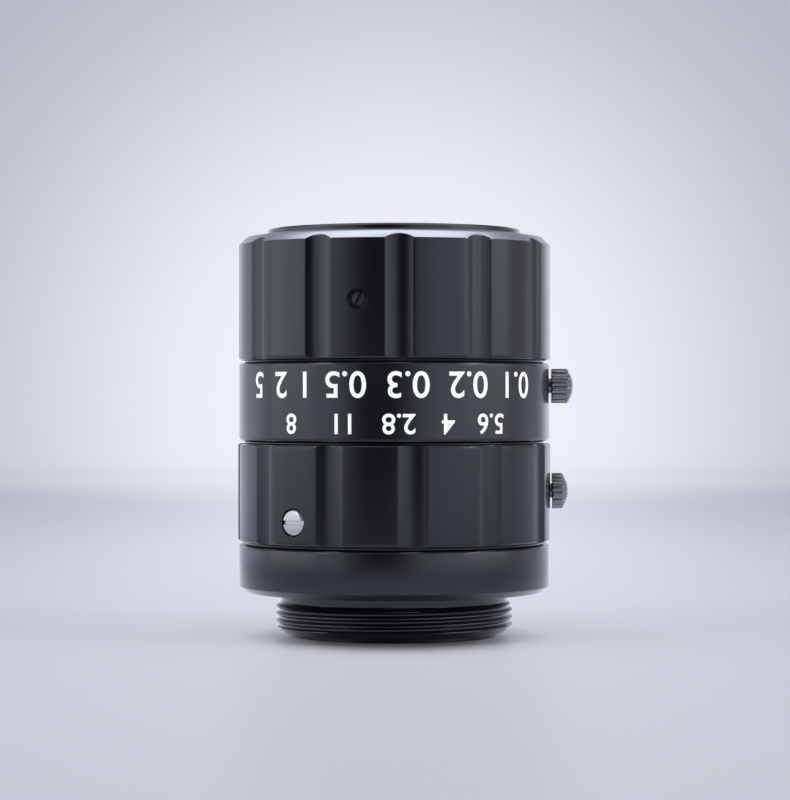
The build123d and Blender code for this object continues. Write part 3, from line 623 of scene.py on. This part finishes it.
def wallMaterial(settings):
    # the backdrop shows its own colour to the camera and to reflections, and lights nothing
    material, tree, shader = newMaterial("paleBackdrop")
    place = splitPlace(tree)
    glossy, seen = seenBy(tree)
    low = floorZ * mm
    # painted shade: the backdrop is a little darker at its foot, where it meets the floor
    rise = eased(tree, place["Z"], low, low + settings["footHeight"] * mm)
    half, top = settings["size"] / 2, settings["topLevel"]
    # painted light: reflections see brighter bands of glow across the backdrop, and an even glow
    # higher up
    sides = levelAlong(tree, place["X"], settings["wallSides"], half, mm, top)
    high = eased(tree, place["Z"], settings["sidesFrom"] * mm, settings["sidesTo"] * mm)
    bright = picked(tree, glossy, 1, picked(tree, high, sides, settings["sidesHigh"]))
    strength = joined(tree, "MULTIPLY", bright, mapped(tree, rise, settings["wallFoot"], 1))
    colour = wallColour(tree, settings, objectPlace(tree))
    feed(tree, shader.inputs["Base Color"], settings["wallLit"])
    setSurface(tree, glowing(tree, shader, colour, strength, seen))
    return material


half = stageSettings["size"] / 2
wallY = stageSettings["wallY"]
stagePlane(
    "floor",
    [(-half, -half, floorZ), (half, -half, floorZ), (half, wallY, floorZ), (-half, wallY, floorZ)],
    floorMaterial(stageSettings),
)
stagePlane(
    "backdrop",
    [(-half, wallY, floorZ), (half, wallY, floorZ), (half, wallY, half), (-half, wallY, half)],
    wallMaterial(stageSettings),
)

lampSettings = {  # place, width and depth in metres, and power in watts
    "topBox": ((0.0, 0.0, 0.75), (0.7, 0.6), 0.84),
    "leftTopBox": ((-0.27, 0.14, 0.72), (0.34, 0.5), 0.74),
    "rightTopBox": ((0.21, 0.12, 0.72), (0.34, 0.5), 0.68),
    "leftEdgeBox": ((-0.5, -0.31, 0.39), (0.12, 0.08), 1.0),
    "rightEdgeBox": ((0.53, -0.23, 0.39), (0.12, 0.08), 1.0),
    "leftBox": ((-0.62, -0.1, 0.22), (0.5, 0.45), 0.7),
    "rightBox": ((0.6, -0.2, 0.24), (0.5, 0.45), 0.9),
}
lampTarget = Vector((0, 0, 0.018))


def lampBox(name, place, size, power):
    data = bpy.data.lights.new(name, "AREA")
    data.shape, data.size, data.size_y, data.energy = "RECTANGLE", size[0], size[1], power
    lamp = bpy.data.objects.new(name, data)
    bpy.context.scene.collection.objects.link(lamp)
    lamp.location = place
    lamp.rotation_euler = (Vector(place) - lampTarget).to_track_quat("Z", "Y").to_euler()


for name, (place, size, power) in lampSettings.items():
    lampBox(name, place, size, power)

worldSettings = {
    "seen": (0.62, 0.64, 0.71), "fill": (0.72, 0.74, 0.8), "reflected": (0.93, 0.95, 1.0),
    "around": [  # brightness in reflections, by the angle from straight ahead
        (-180, 1.1), (-150, 1.0), (-128, 1.2), (-106, 1.2), (-84, 1.08), (-63, 1.3), (-52, 1.5),
        (-43, 1.4), (-34, 0.75), (-25, 0.12), (-17, 0.02), (-1, 0.02), (9, 0.36), (16, 0.85),
        (24, 1.25), (33, 1.55), (43, 1.65), (55, 1.4), (67, 1.25), (82, 1.1), (100, 0.9),
        (130, 0.6), (150, 1.0), (180, 1.1),
    ],
    "topLevel": 2, "ceiling": 0.35, "ceilingFrom": 0.3, "ceilingTo": 0.7,
}


def makeWorld(settings):
    # pale all round, with a dark studio behind the camera that only reflections see
    world = bpy.data.worlds.new("studio")
    bpy.context.scene.world = world
    world.use_nodes = True
    tree = world.node_tree
    tree.nodes.clear()
    output = tree.nodes.new("ShaderNodeOutputWorld")
    direction = addNode(tree, "ShaderNodeTexCoord", {})["Generated"]
    split = addNode(tree, "ShaderNodeSeparateXYZ", {"Vector": direction})
    turn = joined(tree, "ARCTAN2", split["X"], joined(tree, "MULTIPLY", split["Y"], -1))
    level = levelAlong(
        tree, turn, settings["around"], 180, math.radians(1), settings["topLevel"], "B_SPLINE"
    )
    high = eased(tree, split["Z"], settings["ceilingFrom"], settings["ceilingTo"])
    strengths = {"seen": 1, "fill": 1, "reflected": picked(tree, high, level, settings["ceiling"])}
    shown = {}
    for key, strength in strengths.items():
        inputs = {"Color": settings[key], "Strength": strength}
        shown[key] = addNode(tree, "ShaderNodeBackground", inputs)["Background"]
    path = addNode(tree, "ShaderNodeLightPath", {})
    glossy = mixedShader(tree, path["Is Glossy Ray"], shown["fill"], shown["reflected"])
    look = mixedShader(tree, path["Is Camera Ray"], glossy, shown["seen"])
    feed(tree, output.inputs["Surface"], look)


makeWorld(worldSettings)
bpy.context.scene.view_settings.view_transform = "Standard"
print("camera, stage and light set")


# Mount base: thread boss, flange and grip ring

baseSettings = {
    "ringRadius": 16.65, "chamferOut": 0.8, "chamferUp": 0.65, "topBreak": 0.18, "soft": 0.05,
    "recess": 14.62, "floor": 1.6, "bore": 10.2, "relief": 12.2, "reliefLow": -1.0,
    "undercut": 12.8, "undercutDepth": 0.3, "overlap": 0.1,
    "crest": 12.7, "root": 12.28, "pitch": 25.4 / 32, "turns": 6.5, "threadEnd": -3.64,
    "nose": 11.85, "noseEnd": -4.3, "spigot": 11.15, "steps": 160, "rowsPerTurn": 12,
    "crestFlat": 0.14, "rootFlat": 0.2, "weld": 0.002, "topTrim": 0.05, "noseTrim": 0.03,
    "split": -3.0,
}


def threadRadius(phase, settings):
    # 60 degree thread form: flat crest, sloping flanks, flat root
    crest, root, crestFlat, rootFlat = values(settings, "crest root crestFlat rootFlat")
    away = abs((phase + 0.5) % 1 - 0.5) * 2
    fall = min(1, max(0, (away - crestFlat) / (1 - rootFlat - crestFlat)))
    return crest - (crest - root) * fall


def threadLimit(z, settings):
    # the turned blank that the thread is cut in
    top, end, tip = values(settings, "reliefLow threadEnd noseEnd")
    crest, relief, nose = values(settings, "crest relief nose")
    if z > top - (crest - relief):
        return relief + max(0, top - z)
    if z > end:
        return crest
    share = min(1, (end - z) / (end - tip))
    return crest - share * (crest - nose)


def threadWall(bm, settings):
    # one profile swept as a screw, then trimmed to the blank
    pitch, rows, steps = values(settings, "pitch rowsPerTurn steps")
    low = settings["noseEnd"] - pitch
    verts = []
    for i in range(int(settings["turns"] * rows) + 1):
        r = threadRadius(i / rows, settings)
        verts.append(bm.verts.new((r, 0, low + pitch * i / rows)))
    edges = [bm.edges.new(p) for p in zip(verts, verts[1:])]
    spun(bm, verts, edges, steps, pitch / steps, merge=False)
    bmesh.ops.remove_doubles(bm, verts=bm.verts, dist=settings["weld"])
    for v in bm.verts:
        r = math.hypot(v.co.x, v.co.y)
        limit = threadLimit(v.co.z, settings)
        if r > limit:
            v.co.x, v.co.y = v.co.x * limit / r, v.co.y * limit / r
    top = settings["reliefLow"] + settings["topTrim"]
    for height, side in ((top, 1), (settings["noseEnd"] + settings["noseTrim"], -1)):
        bmesh.ops.bisect_plane(
            bm, geom=bm.verts[:] + bm.edges[:] + bm.faces[:], dist=cutDist,
            plane_co=(0, 0, height), plane_no=(0, 0, side), clear_outer=True, clear_inner=False,
        )


def makeMountBase(settings):
    bm = bmesh.new()
    threadWall(bm, settings)

    def openEdges(lower, known=()):
        # edges of the open ends, either below or above the split
        split = settings["split"]
        ends = [e for e in bm.edges if e.is_boundary and (e.verts[0].co.z < split) == lower]
        return [e for e in ends if e not in known]

    low, high = openEdges(True), openEdges(False)
    relief, undercut, depth, radius = values(settings, "relief undercut undercutDepth ringRadius")
    recess, floor, bore, spigot = values(settings, "recess floor bore spigot")
    top, edge = baseHigh.z, settings["topBreak"]
    profile = [
        (relief, settings["reliefLow"] + settings["overlap"]), (relief, depth),
        (undercut, depth), (undercut, 0),
        (radius - settings["chamferOut"], 0), (radius, settings["chamferUp"]),
        (radius, top - edge), (radius - edge, top), (recess, top), (recess, floor),
        (bore, floor), (bore, floorZ), (spigot, floorZ),
        (spigot, settings["noseEnd"]), (settings["nose"], settings["noseEnd"]),
    ]
    body = bmesh.new()
    lathe(body, profile, settings["steps"], closed=False)
    softenEdges(body, settings["soft"])
    pour(body, bm)
    lowRim, highRim = openEdges(True, low), openEdges(False, high)
    bmesh.ops.bridge_loops(bm, edges=low + lowRim)
    bmesh.ops.bridge_loops(bm, edges=high + highRim)
    bmesh.ops.recalc_face_normals(bm, faces=bm.faces)
    piece = asObject(bm, "mountBase")
    dress(piece, "barrel", ["mount_base"], [turnedBlack])


makeMountBase(baseSettings)


# Main barrel: label band, guide tube and the extension under the iris ring

barrelLow, barrelHigh = nodeBox("main_barrel")
barrelSettings = {
    "bandRadius": 16.6, "bandLow": 16.16, "bandHigh": 24.41, "edge": 0.18, "soft": 0.09,
    "rows": 6, "steps": 240, "bore": 12.05, "tube": 13.4, "extension": 14.6, "groove": 15.2,
    "grooveFloor": 17.4, "lockHeight": 22.0, "lockHole": 0.85, "lockInset": 1, "lockReach": 4,
}


def makeBarrel(settings):
    radius, edge, low, high = values(settings, "bandRadius edge bandLow bandHigh")
    bore, tube, end, groove, floor = values(settings, "bore tube extension groove grooveFloor")
    profile = [
        (bore, barrelLow.z), (end, barrelLow.z), (end, low), (radius - edge, low),
        *[(radius, z) for z in wallRows(low + edge, high - edge, settings["rows"])],
        (radius - edge, high), (groove, high), (groove, floor), (tube, floor),
        (tube, barrelHigh.z), (bore, barrelHigh.z),
    ]
    piece = turnedPiece("mainBarrel", profile, settings["steps"], soft=settings["soft"])
    place = radialPlace(90, tube + settings["lockInset"], settings["lockHeight"])
    cutAway(piece, [disc(settings["lockHole"], 0, settings["lockReach"], place)])
    dress(piece, "barrel", ["main_barrel"], [turnedBlack])


makeBarrel(barrelSettings)


# Iris ring

irisLow, irisHigh = nodeBox("iris_ring")
irisSettings = {
    "radius": 16.745, "count": 12, "cutter": 3.0, "offset": 2.55, "turn": 6.5,
    "fluteSteps": 14, "landSteps": 14, "low": 5.41, "high": 15.88, "edge": 0.18, "soft": 0.09,
    "rows": 8, "bore": 14.65, "hub": 16.05, "screwAzimuth": -38.7, "screwHeight": 7.86,
    "screwHole": 1.5, "screwSeat": 15.94, "screwTop": 18, "shankHole": 0.82,
    "lockHeight": 10.75, "lockHole": 0.85, "holeFrom": 14, "holeTo": 17,
}


def makeIrisRing(settings):
    radius, edge, hub, bore, low, high = values(settings, "radius edge hub bore low high")
    bm = bmesh.new()
    loftRing(
        bm,
        [
            (bore, irisLow.z), (hub, irisLow.z), (hub, low), (radius - edge, low),
            *[(radius, z) for z in wallRows(low + edge, high - edge, settings["rows"])],
            (radius - edge, high), (hub, high), (hub, irisHigh.z), (bore, irisHigh.z),
        ],
        settings,
    )
    softenEdges(bm, settings["soft"])
    piece = asObject(bm, "irisRing")
    screw = radialPlace(settings["screwAzimuth"], 0, settings["screwHeight"])
    lock = radialPlace(90, 0, settings["lockHeight"])
    start, end = values(settings, "holeFrom holeTo")
    cutters = [
        disc(*values(settings, "screwHole screwSeat screwTop"), screw),
        disc(settings["shankHole"], start, end, screw),
        disc(settings["lockHole"], start, end, lock),
    ]
    cutAway(piece, cutters)
    dress(piece, "iris_ring", ["iris_ring"], [gripBlack])


makeIrisRing(irisSettings)


# Focus ring, with the bare cone in front

focusLow, focusHigh = nodeBox("focus_ring")
focusSettings = {
    "radius": 16.7, "count": 12, "cutter": 3.0, "offset": 2.55, "turn": 1.9, "rows": 9,
    "fluteSteps": 14, "landSteps": 14, "edge": 0.18, "soft": 0.09, "low": 24.71, "hub": 16.05,
    "coneLow": 37.04, "coneRadius": 13.72, "coneFacing": 0.3,
    "shoulderWidth": 0.88, "shoulderRise": 0.82, "hole": 13.6, "bore": 15.02, "flangeLow": 36.4,
    "screwAzimuth": -13.0, "screwCount": 3, "screwHeight": 30.8, "screwHole": 0.82,
    "holeFrom": 14, "holeTo": 18, "mouth": 1.15, "mouthFloor": 0.9, "mouthDepth": 0.4,
    "mouthProud": 0.05,
}


def setScrewPlaces(settings):
    step = 360 / settings["screwCount"]
    azimuths = [settings["screwAzimuth"] + step * k for k in range(settings["screwCount"])]
    return [radialPlace(azimuth, 0, settings["screwHeight"]) for azimuth in azimuths]


def makeFocusRing(settings):
    radius, edge, hub, bore, low, coneLow = values(settings, "radius edge hub bore low coneLow")
    rise, width, hole, flange = values(settings, "shoulderRise shoulderWidth hole flangeLow")
    high = focusHigh.z
    wall = wallRows(low + edge, coneLow, settings["rows"])[:-1]
    bm = bmesh.new()
    loftRing(
        bm,
        [
            (bore, focusLow.z), (hub, focusLow.z), (hub, low), (radius - edge, low),
            *[(radius, z) for z in wall],
            (radius, coneLow, rise / width), (radius - width, coneLow + rise),
            (settings["coneRadius"], high), (hole, high), (hole, flange), (bore, flange),
        ],
        settings,
    )
    bmesh.ops.recalc_face_normals(bm, faces=bm.faces)
    for face in bm.faces:  # the shoulder and the cone are bare metal
        if face.calc_center_median().z > coneLow and face.normal.z > settings["coneFacing"]:
            face.material_index = 1
    softenEdges(bm, settings["soft"])
    piece = asObject(bm, "focusRing")
    piece.data.materials.append(gripBlack)
    piece.data.materials.append(cutAluminium)
    start, end = radius - settings["mouthDepth"], radius + settings["mouthProud"]
    cutters = []
    for place in setScrewPlaces(settings):
        cutters.append(disc(settings["screwHole"], settings["holeFrom"], settings["holeTo"], place))
        cutters.append(disc(settings["mouthFloor"], start, end, place, settings["mouth"]))
    cutAway(piece, cutters)
    dress(piece, "focus_ring", ["focus_ring"], [gripBlack, cutAluminium])


makeFocusRing(focusSettings)


# Front ring with its filter thread

rimLow, rimHigh = nodeBox("front_ring")
rimSettings = {
    "outer": 13.55, "edge": 0.18, "groove": 12.75, "crest": 12.48, "pitch": 0.5, "steps": 200,
    "topRoom": 0.4, "firstGroove": 0.35, "crestFrom": 0.42, "crestTo": 0.58, "runOut": 0.1,
    "threadLow": 36.01, "lip": 11.2, "lipLow": 35.41, "skirt": 12.62,
}


def makeFrontRing(settings):
    edge, groove, crest, outer = values(settings, "edge groove crest outer")
    lip, lipLow, skirt, low, pitch = values(settings, "lip lipLow skirt threadLow pitch")
    top = rimHigh.z
    ridges = []
    for k in range(int((top - low - settings["topRoom"]) / pitch)):
        z = top - settings["firstGroove"] - pitch * k
        ridges += [
            (groove, z), (crest, z - pitch * settings["crestFrom"]),
            (crest, z - pitch * settings["crestTo"]),
        ]
    profile = [
        (skirt, rimLow.z), (outer, rimLow.z), (outer, top - edge), (outer - edge, top),
        (groove + edge, top), (groove, top - edge), *ridges,
        (groove, low + settings["runOut"]), (groove, low), (lip, low),
        (lip, lipLow), (skirt, lipLow),
    ]
    piece = turnedPiece("frontRing", profile, settings["steps"])
    dress(piece, "lens_cell", ["front_ring"], [turnedBlack])


makeFrontRing(rimSettings)


# Screws

driveSettings = {
    "azimuth": -38.7, "height": 7.86, "pin": 0.6, "pinStart": 9.7, "shank": 0.8,
    "shankStart": 14.65, "head": 1.4, "headStart": 15.94, "headEnd": 16.79, "chamfer": 0.2,
    "slot": 0.45, "slotDepth": 0.4, "slotFloorRoom": 0.1, "slotReach": 0.6, "slotFacing": 0.98,
    "steps": 56, "soft": 0.03, "cut": 4,
}


def makeDriveScrew(settings):
    pin, low, shank, seat = values(settings, "pin pinStart shank shankStart")
    head, start, top = values(settings, "head headStart headEnd")
    chamfer, slot, depth = values(settings, "chamfer slot slotDepth")
    profile = [
        (0, low), (pin, low), (pin, seat), (shank, seat), (shank, start), (head, start),
        (head, top - chamfer), (head - chamfer, top), (0, top),
    ]
    place = radialPlace(settings["azimuth"], 0, settings["height"])
    steps, soft = values(settings, "steps soft")
    piece = turnedPiece("irisDriveScrew", profile, steps, False, soft, place)
    piece.data.materials.append(brightSteel)
    piece.data.materials.append(slotShadeSteel)
    cutAway(piece, [block(settings["cut"], slot, top - depth, top + 1, place)])
    floor = (top - depth / 2) * mm
    for face in piece.data.polygons:  # painted shade: the two walls of the slot are darker
        reach = math.hypot(face.center.x, face.center.y)
        off = abs(face.center.z - settings["height"] * mm)
        flat = abs(face.normal.z) > settings["slotFacing"]
        deep = reach > floor - settings["slotFloorRoom"] * mm
        if flat and deep and off < settings["slotReach"] * slot * mm:
            face.material_index = 1
    dress(piece, "iris_ring", ["iris_drive_screw"], [brightSteel, slotShadeSteel])


makeDriveScrew(driveSettings)

setScrewSettings = {
    "radius": 0.8, "start": 15.02, "end": 16.3, "slot": 0.28, "slotDepth": 0.4,
    "slotTilt": 26.0, "cup": 0.12, "steps": 40, "soft": 0.03, "cut": 4,
}


def makeSetScrews(settings):
    r, cup, start, end = values(settings, "radius cup start end")
    low, tilt = end - settings["slotDepth"], math.radians(90 - settings["slotTilt"])
    whole = bmesh.new()
    cutters = []
    for place in setScrewPlaces(focusSettings):
        bm = bmesh.new()
        profile = [(0, start), (r, start), (r, end - cup), (r - cup, end), (0, end)]
        lathe(bm, profile, settings["steps"], closed=False)
        softenEdges(bm, settings["soft"])
        pour(placed(bm, place), whole)
        cutters.append(block(settings["cut"], settings["slot"], low, end + 1, place, tilt))
    piece = asObject(whole, "focusSetScrews")
    cutAway(piece, cutters)
    dress(piece, "focus_ring", ["focus_set_screws"], [blackSteel])


makeSetScrews(setScrewSettings)

lockSettings = {
    "focus": {"height": 22.0, "radius": 1.875, "start": 16.87, "end": 19.23, "shankStart": 15.64},
    "iris": {"height": 10.75, "radius": 1.925, "start": 16.94, "end": 18.7, "shankStart": 15.24},
    "shank": 0.8, "edge": 0.09, "dome": 0.7, "domeSteps": 10, "core": 0.05, "soft": 0.03,
    "coreRoom": 0.01,
    "knurl": {
        "count": 16, "cutter": 0.3, "offset": 0.1, "turn": 0.0, "fluteSteps": 6, "landSteps": 4,
    },
}


def makeLockScrew(which, settings):
    one = settings[which]
    radius, low, start, end = values(one, "radius shankStart start end")
    edge, dome, shank, core = values(settings, "edge dome shank core")
    curve = (radius**2 + dome**2) / (2 * dome)
    rows = []
    for i in range(settings["domeSteps"] + 1):
        r = radius + (core - radius) * i / settings["domeSteps"]
        rows.append((r, end - curve + math.sqrt(curve**2 - r**2)))
    bm = bmesh.new()
    loftRing(
        bm,
        [
            (core, low), (shank - edge, low), (shank, low + edge),
            (shank, start), (radius - edge, start), (radius, start + edge), *rows,
        ],
        {"radius": radius, **settings["knurl"]},
    )
    inner = core + settings["coreRoom"]  # the wall of the narrow core goes, and its ends are closed
    walls = [f for f in bm.faces if all(math.hypot(v.co.x, v.co.y) < inner for v in f.verts)]
    bmesh.ops.delete(bm, geom=walls, context="FACES")
    bmesh.ops.holes_fill(bm, edges=[e for e in bm.edges if e.is_boundary], sides=0)
    softenEdges(bm, settings["soft"])
    piece = asObject(placed(bm, radialPlace(90, 0, one["height"])), which + "LockScrew")
    body = which + "_lock_screw"
    dress(piece, body, [body], [thumbSteel], sharp=40)


for which in ("focus", "iris"):
    makeLockScrew(which, lockSettings)
print("rings and screws made")


# Scale numerals on the label band, upside down as the lens stands

labelSettings = {
    "radius": 16.6, "proud": 0.02, "sunk": 0.01, "slice": 0.25, "weld": 0.006,
    "capShare": 0.72, "weight": 0.035,
    "rows": {
        "distanceScale": [
            {"words": ["0.1", "0.2", "0.3", "0.5", "1", "2", "5"], "height": 20.62, "cap": 2.75,
             "from": 56.0, "to": -60.5},
        ],
        "stopScale": [
            {"words": ["5.6", "4", "2.8"], "height": 16.95, "cap": 2.1, "from": 42.8, "to": -4.2},
            {"words": ["11", "8"], "height": 16.95, "cap": 2.1, "from": -15.2, "to": -41.9},
        ],
    },
}


def flatWord(word, cap, settings):
    # one word as a flat mesh, centred, with capitals of the given height
    curve = bpy.data.curves.new("word", "FONT")
    curve.body, curve.size, curve.offset = word, cap / settings["capShare"], settings["weight"]
    curve.align_x, curve.align_y = "CENTER", "BOTTOM_BASELINE"
    holder = bpy.data.objects.new("word", curve)
    bpy.context.scene.collection.objects.link(holder)
    graph = bpy.context.evaluated_depsgraph_get()
    mesh = bpy.data.meshes.new_from_object(holder.evaluated_get(graph))
    bpy.data.objects.remove(holder)
    bpy.data.curves.remove(curve)
    return mesh


def bentWord(mesh, row, azimuth, settings):
    # wraps one flat word round the band, upside down
    part = bmesh.new()
    part.from_mesh(mesh)
    bpy.data.meshes.remove(mesh)
    bmesh.ops.remove_doubles(part, verts=part.verts, dist=settings["weld"])
    reach = max(abs(v.co.x) for v in part.verts)
    cuts = int(reach / settings["slice"]) + 1
    for i in range(-cuts, cuts + 1):
        geom, place = part.verts[:] + part.edges[:] + part.faces[:], (i * settings["slice"], 0, 0)
        bmesh.ops.bisect_plane(part, geom=geom, dist=cutDist, plane_co=place, plane_no=(1, 0, 0))
    radius = settings["radius"] + settings["proud"]
    for v in part.verts:
        out = outward(azimuth - math.degrees(v.co.x / radius))
        v.co = out * radius + zUp * (row["height"] + row["cap"] - v.co.y)
    return part


def makeScale(name, rows, settings):
    radius = settings["radius"]
    bm = bmesh.new()
    for row in rows:
        meshes = [flatWord(word, row["cap"], settings) for word in row["words"]]
        widths = [max(v.co.x for v in m.vertices) - min(v.co.x for v in m.vertices) for m in meshes]
        gap = math.radians(row["from"] - row["to"]) * radius - sum(widths)
        gap /= len(widths) - 1
        along = 0.0
        for mesh, width in zip(meshes, widths):
            azimuth = row["from"] - math.degrees((along + width / 2) / radius)
            pour(bentWord(mesh, row, azimuth, settings), bm)
            along += width + gap
    made = bmesh.ops.extrude_face_region(bm, geom=bm.faces[:], use_keep_orig=True)["geom"]
    sunk = (radius - settings["sunk"]) / (radius + settings["proud"])
    for v in (part for part in made if isinstance(part, bmesh.types.BMVert)):
        v.co.x, v.co.y = v.co.x * sunk, v.co.y * sunk
    bmesh.ops.recalc_face_normals(bm, faces=bm.faces)
    dress(asObject(bm, name), "barrel", [], [whiteInk])


for name, rows in labelSettings["rows"].items():
    makeScale(name, rows, labelSettings)
print("scales made")


# Glass and rear parts that can be looked at from either end

def polishedFace(clear, rim, bulge, side, steps=16):
    # points of a spherical face from the axis to its rim, side 1 upwards and -1 downwards
    curve = (clear**2 + bulge**2) / (2 * abs(bulge))
    points = []
    for i in range(steps + 1):
        r = clear * i / steps
        rise = math.sqrt(curve**2 - r**2) - curve + abs(bulge)
        points.append((r, rim + side * math.copysign(rise, bulge)))
    return points


def makeGlass(name, node, material, settings):
    # a ground and polished element
    edge, low, high = values(settings, "edge low high")
    bottom = polishedFace(edge - settings["lowRim"], low, settings["lowBulge"], -1)
    top = polishedFace(edge - settings["highRim"], high, settings["highBulge"], 1)
    piece = turnedPiece(name, bottom + [(edge, low), (edge, high)] + top[::-1], closed=False)
    dress(piece, "lens_cell", [node], [material], sharp=20)


glassSettings = {
    "frontGlass": {"edge": 10.46, "low": 30.61, "lowRim": 1.46, "lowBulge": -2.41,
                   "high": 33.21, "highRim": 0.66, "highBulge": 1.08},
    "secondGlass": {"edge": 10.46, "low": 24.01, "lowRim": 2.16, "lowBulge": -1.17,
                    "high": 26.21, "highRim": 0.96, "highBulge": 2.71},
    "rearGlassB": {"edge": 7.36, "low": 1.6, "lowRim": 0.86, "lowBulge": 0.53,
                   "high": 3.4, "highRim": 0.86, "highBulge": 0.98},
    "rearGlassC": {"edge": 7.36, "low": -1.4, "lowRim": 0.86, "lowBulge": 1.22,
                   "high": 0.6, "highRim": 0.86, "highBulge": -0.71},
}
for name, node, material in (
    ("frontGlass", "front_element", outerGlass), ("secondGlass", "second_element", innerGlass),
    ("rearGlassB", "rear_element_b", innerGlass), ("rearGlassC", "rear_element_c", outerGlass),
):
    makeGlass(name, node, material, glassSettings[name])

retainerSettings = {
    "front": {"inner": 9.9, "outer": 11.08, "low": 33.21, "high": 34.61, "slot": 1.2, "depth": 0.4,
              "groove": 0.14, "pitch": 0.35, "chamfer": 0.18, "lastStep": 0.1, "slope": 0.8,
              "across": 30},
    "rear": {"inner": 6.6, "outer": 7.78, "low": -2.6, "high": -1.4, "slot": 1.0, "depth": 0.4,
             "soft": 0.06, "across": 30},
    "cell": {"bore": 7.8, "outer": 9.6, "low": -3.0, "seat": 1.8, "thread": 10.8, "threadEnd": 4.4,
             "body": 9.5, "end": 8.95, "lip": 6.6, "lipLow": 8.35, "wall": 7.4, "shelf": -1.4,
             "soft": 0.05},
}


def makeFrontRetainer(settings):
    # slotted ring with fine steps inside that keep stray light down
    inner, outer, low, high = values(settings, "inner outer low high")
    pitch, chamfer = values(settings, "pitch chamfer")
    steps, z = [], high - chamfer
    while z - pitch > low + settings["lastStep"]:
        steps += [(inner, z), (inner + settings["groove"], z - pitch * settings["slope"])]
        z -= pitch
    profile = [(outer, low), (outer, high), (inner + chamfer, high), *steps, (inner, low)]
    piece = turnedPiece("frontRetainer", profile)
    slotFloor = high - settings["depth"]
    cutAway(piece, [block(settings["across"], settings["slot"], slotFloor, high + 1)])
    dress(piece, "lens_cell", ["front_retainer"], [innerBlack])


def makeRearRetainer(settings):
    inner, outer, low, high = values(settings, "inner outer low high")
    profile = [(inner, low), (outer, low), (outer, high), (inner, high)]
    piece = turnedPiece("rearRetainer", profile, soft=settings["soft"])
    cutAway(piece, [block(settings["across"], settings["slot"], low - 1, low + settings["depth"])])
    dress(piece, "lens_cell", ["rear_retainer"], [innerBlack])


def makeRearCell(settings):
    corners = [  # from the rear bore outwards, round the front and back inside
        ("bore", "low"), ("outer", "low"), ("outer", "seat"), ("thread", "seat"),
        ("thread", "threadEnd"), ("body", "threadEnd"), ("body", "end"), ("lip", "end"),
        ("lip", "lipLow"), ("wall", "lipLow"), ("wall", "shelf"), ("bore", "shelf"),
    ]
    profile = [(settings[r], settings[z]) for r, z in corners]
    piece = turnedPiece("rearCell", profile, soft=settings["soft"])
    dress(piece, "lens_cell", ["rear_cell"], [innerBlack])


makeFrontRetainer(retainerSettings["front"])
makeRearRetainer(retainerSettings["rear"])
makeRearCell(retainerSettings["cell"])
print("glass and its cells made")


# Finishes for the CAD parts that stay

nodeFinish = {
    "inner_black": innerBlack, "bright_steel": brightSteel, "black_steel": blackSteel,
    "blade_steel": bladeSteel, "white_nylon": whiteNylon, "coated_glass": innerGlass,
    "black_anodised": turnedBlack,
}
for part in frame["record"]["subparts"]:
    target = frame["nodes"][part["node"]]
    target.data.materials.clear()
    target.data.materials.append(nodeFinish[part["material_slot"]])
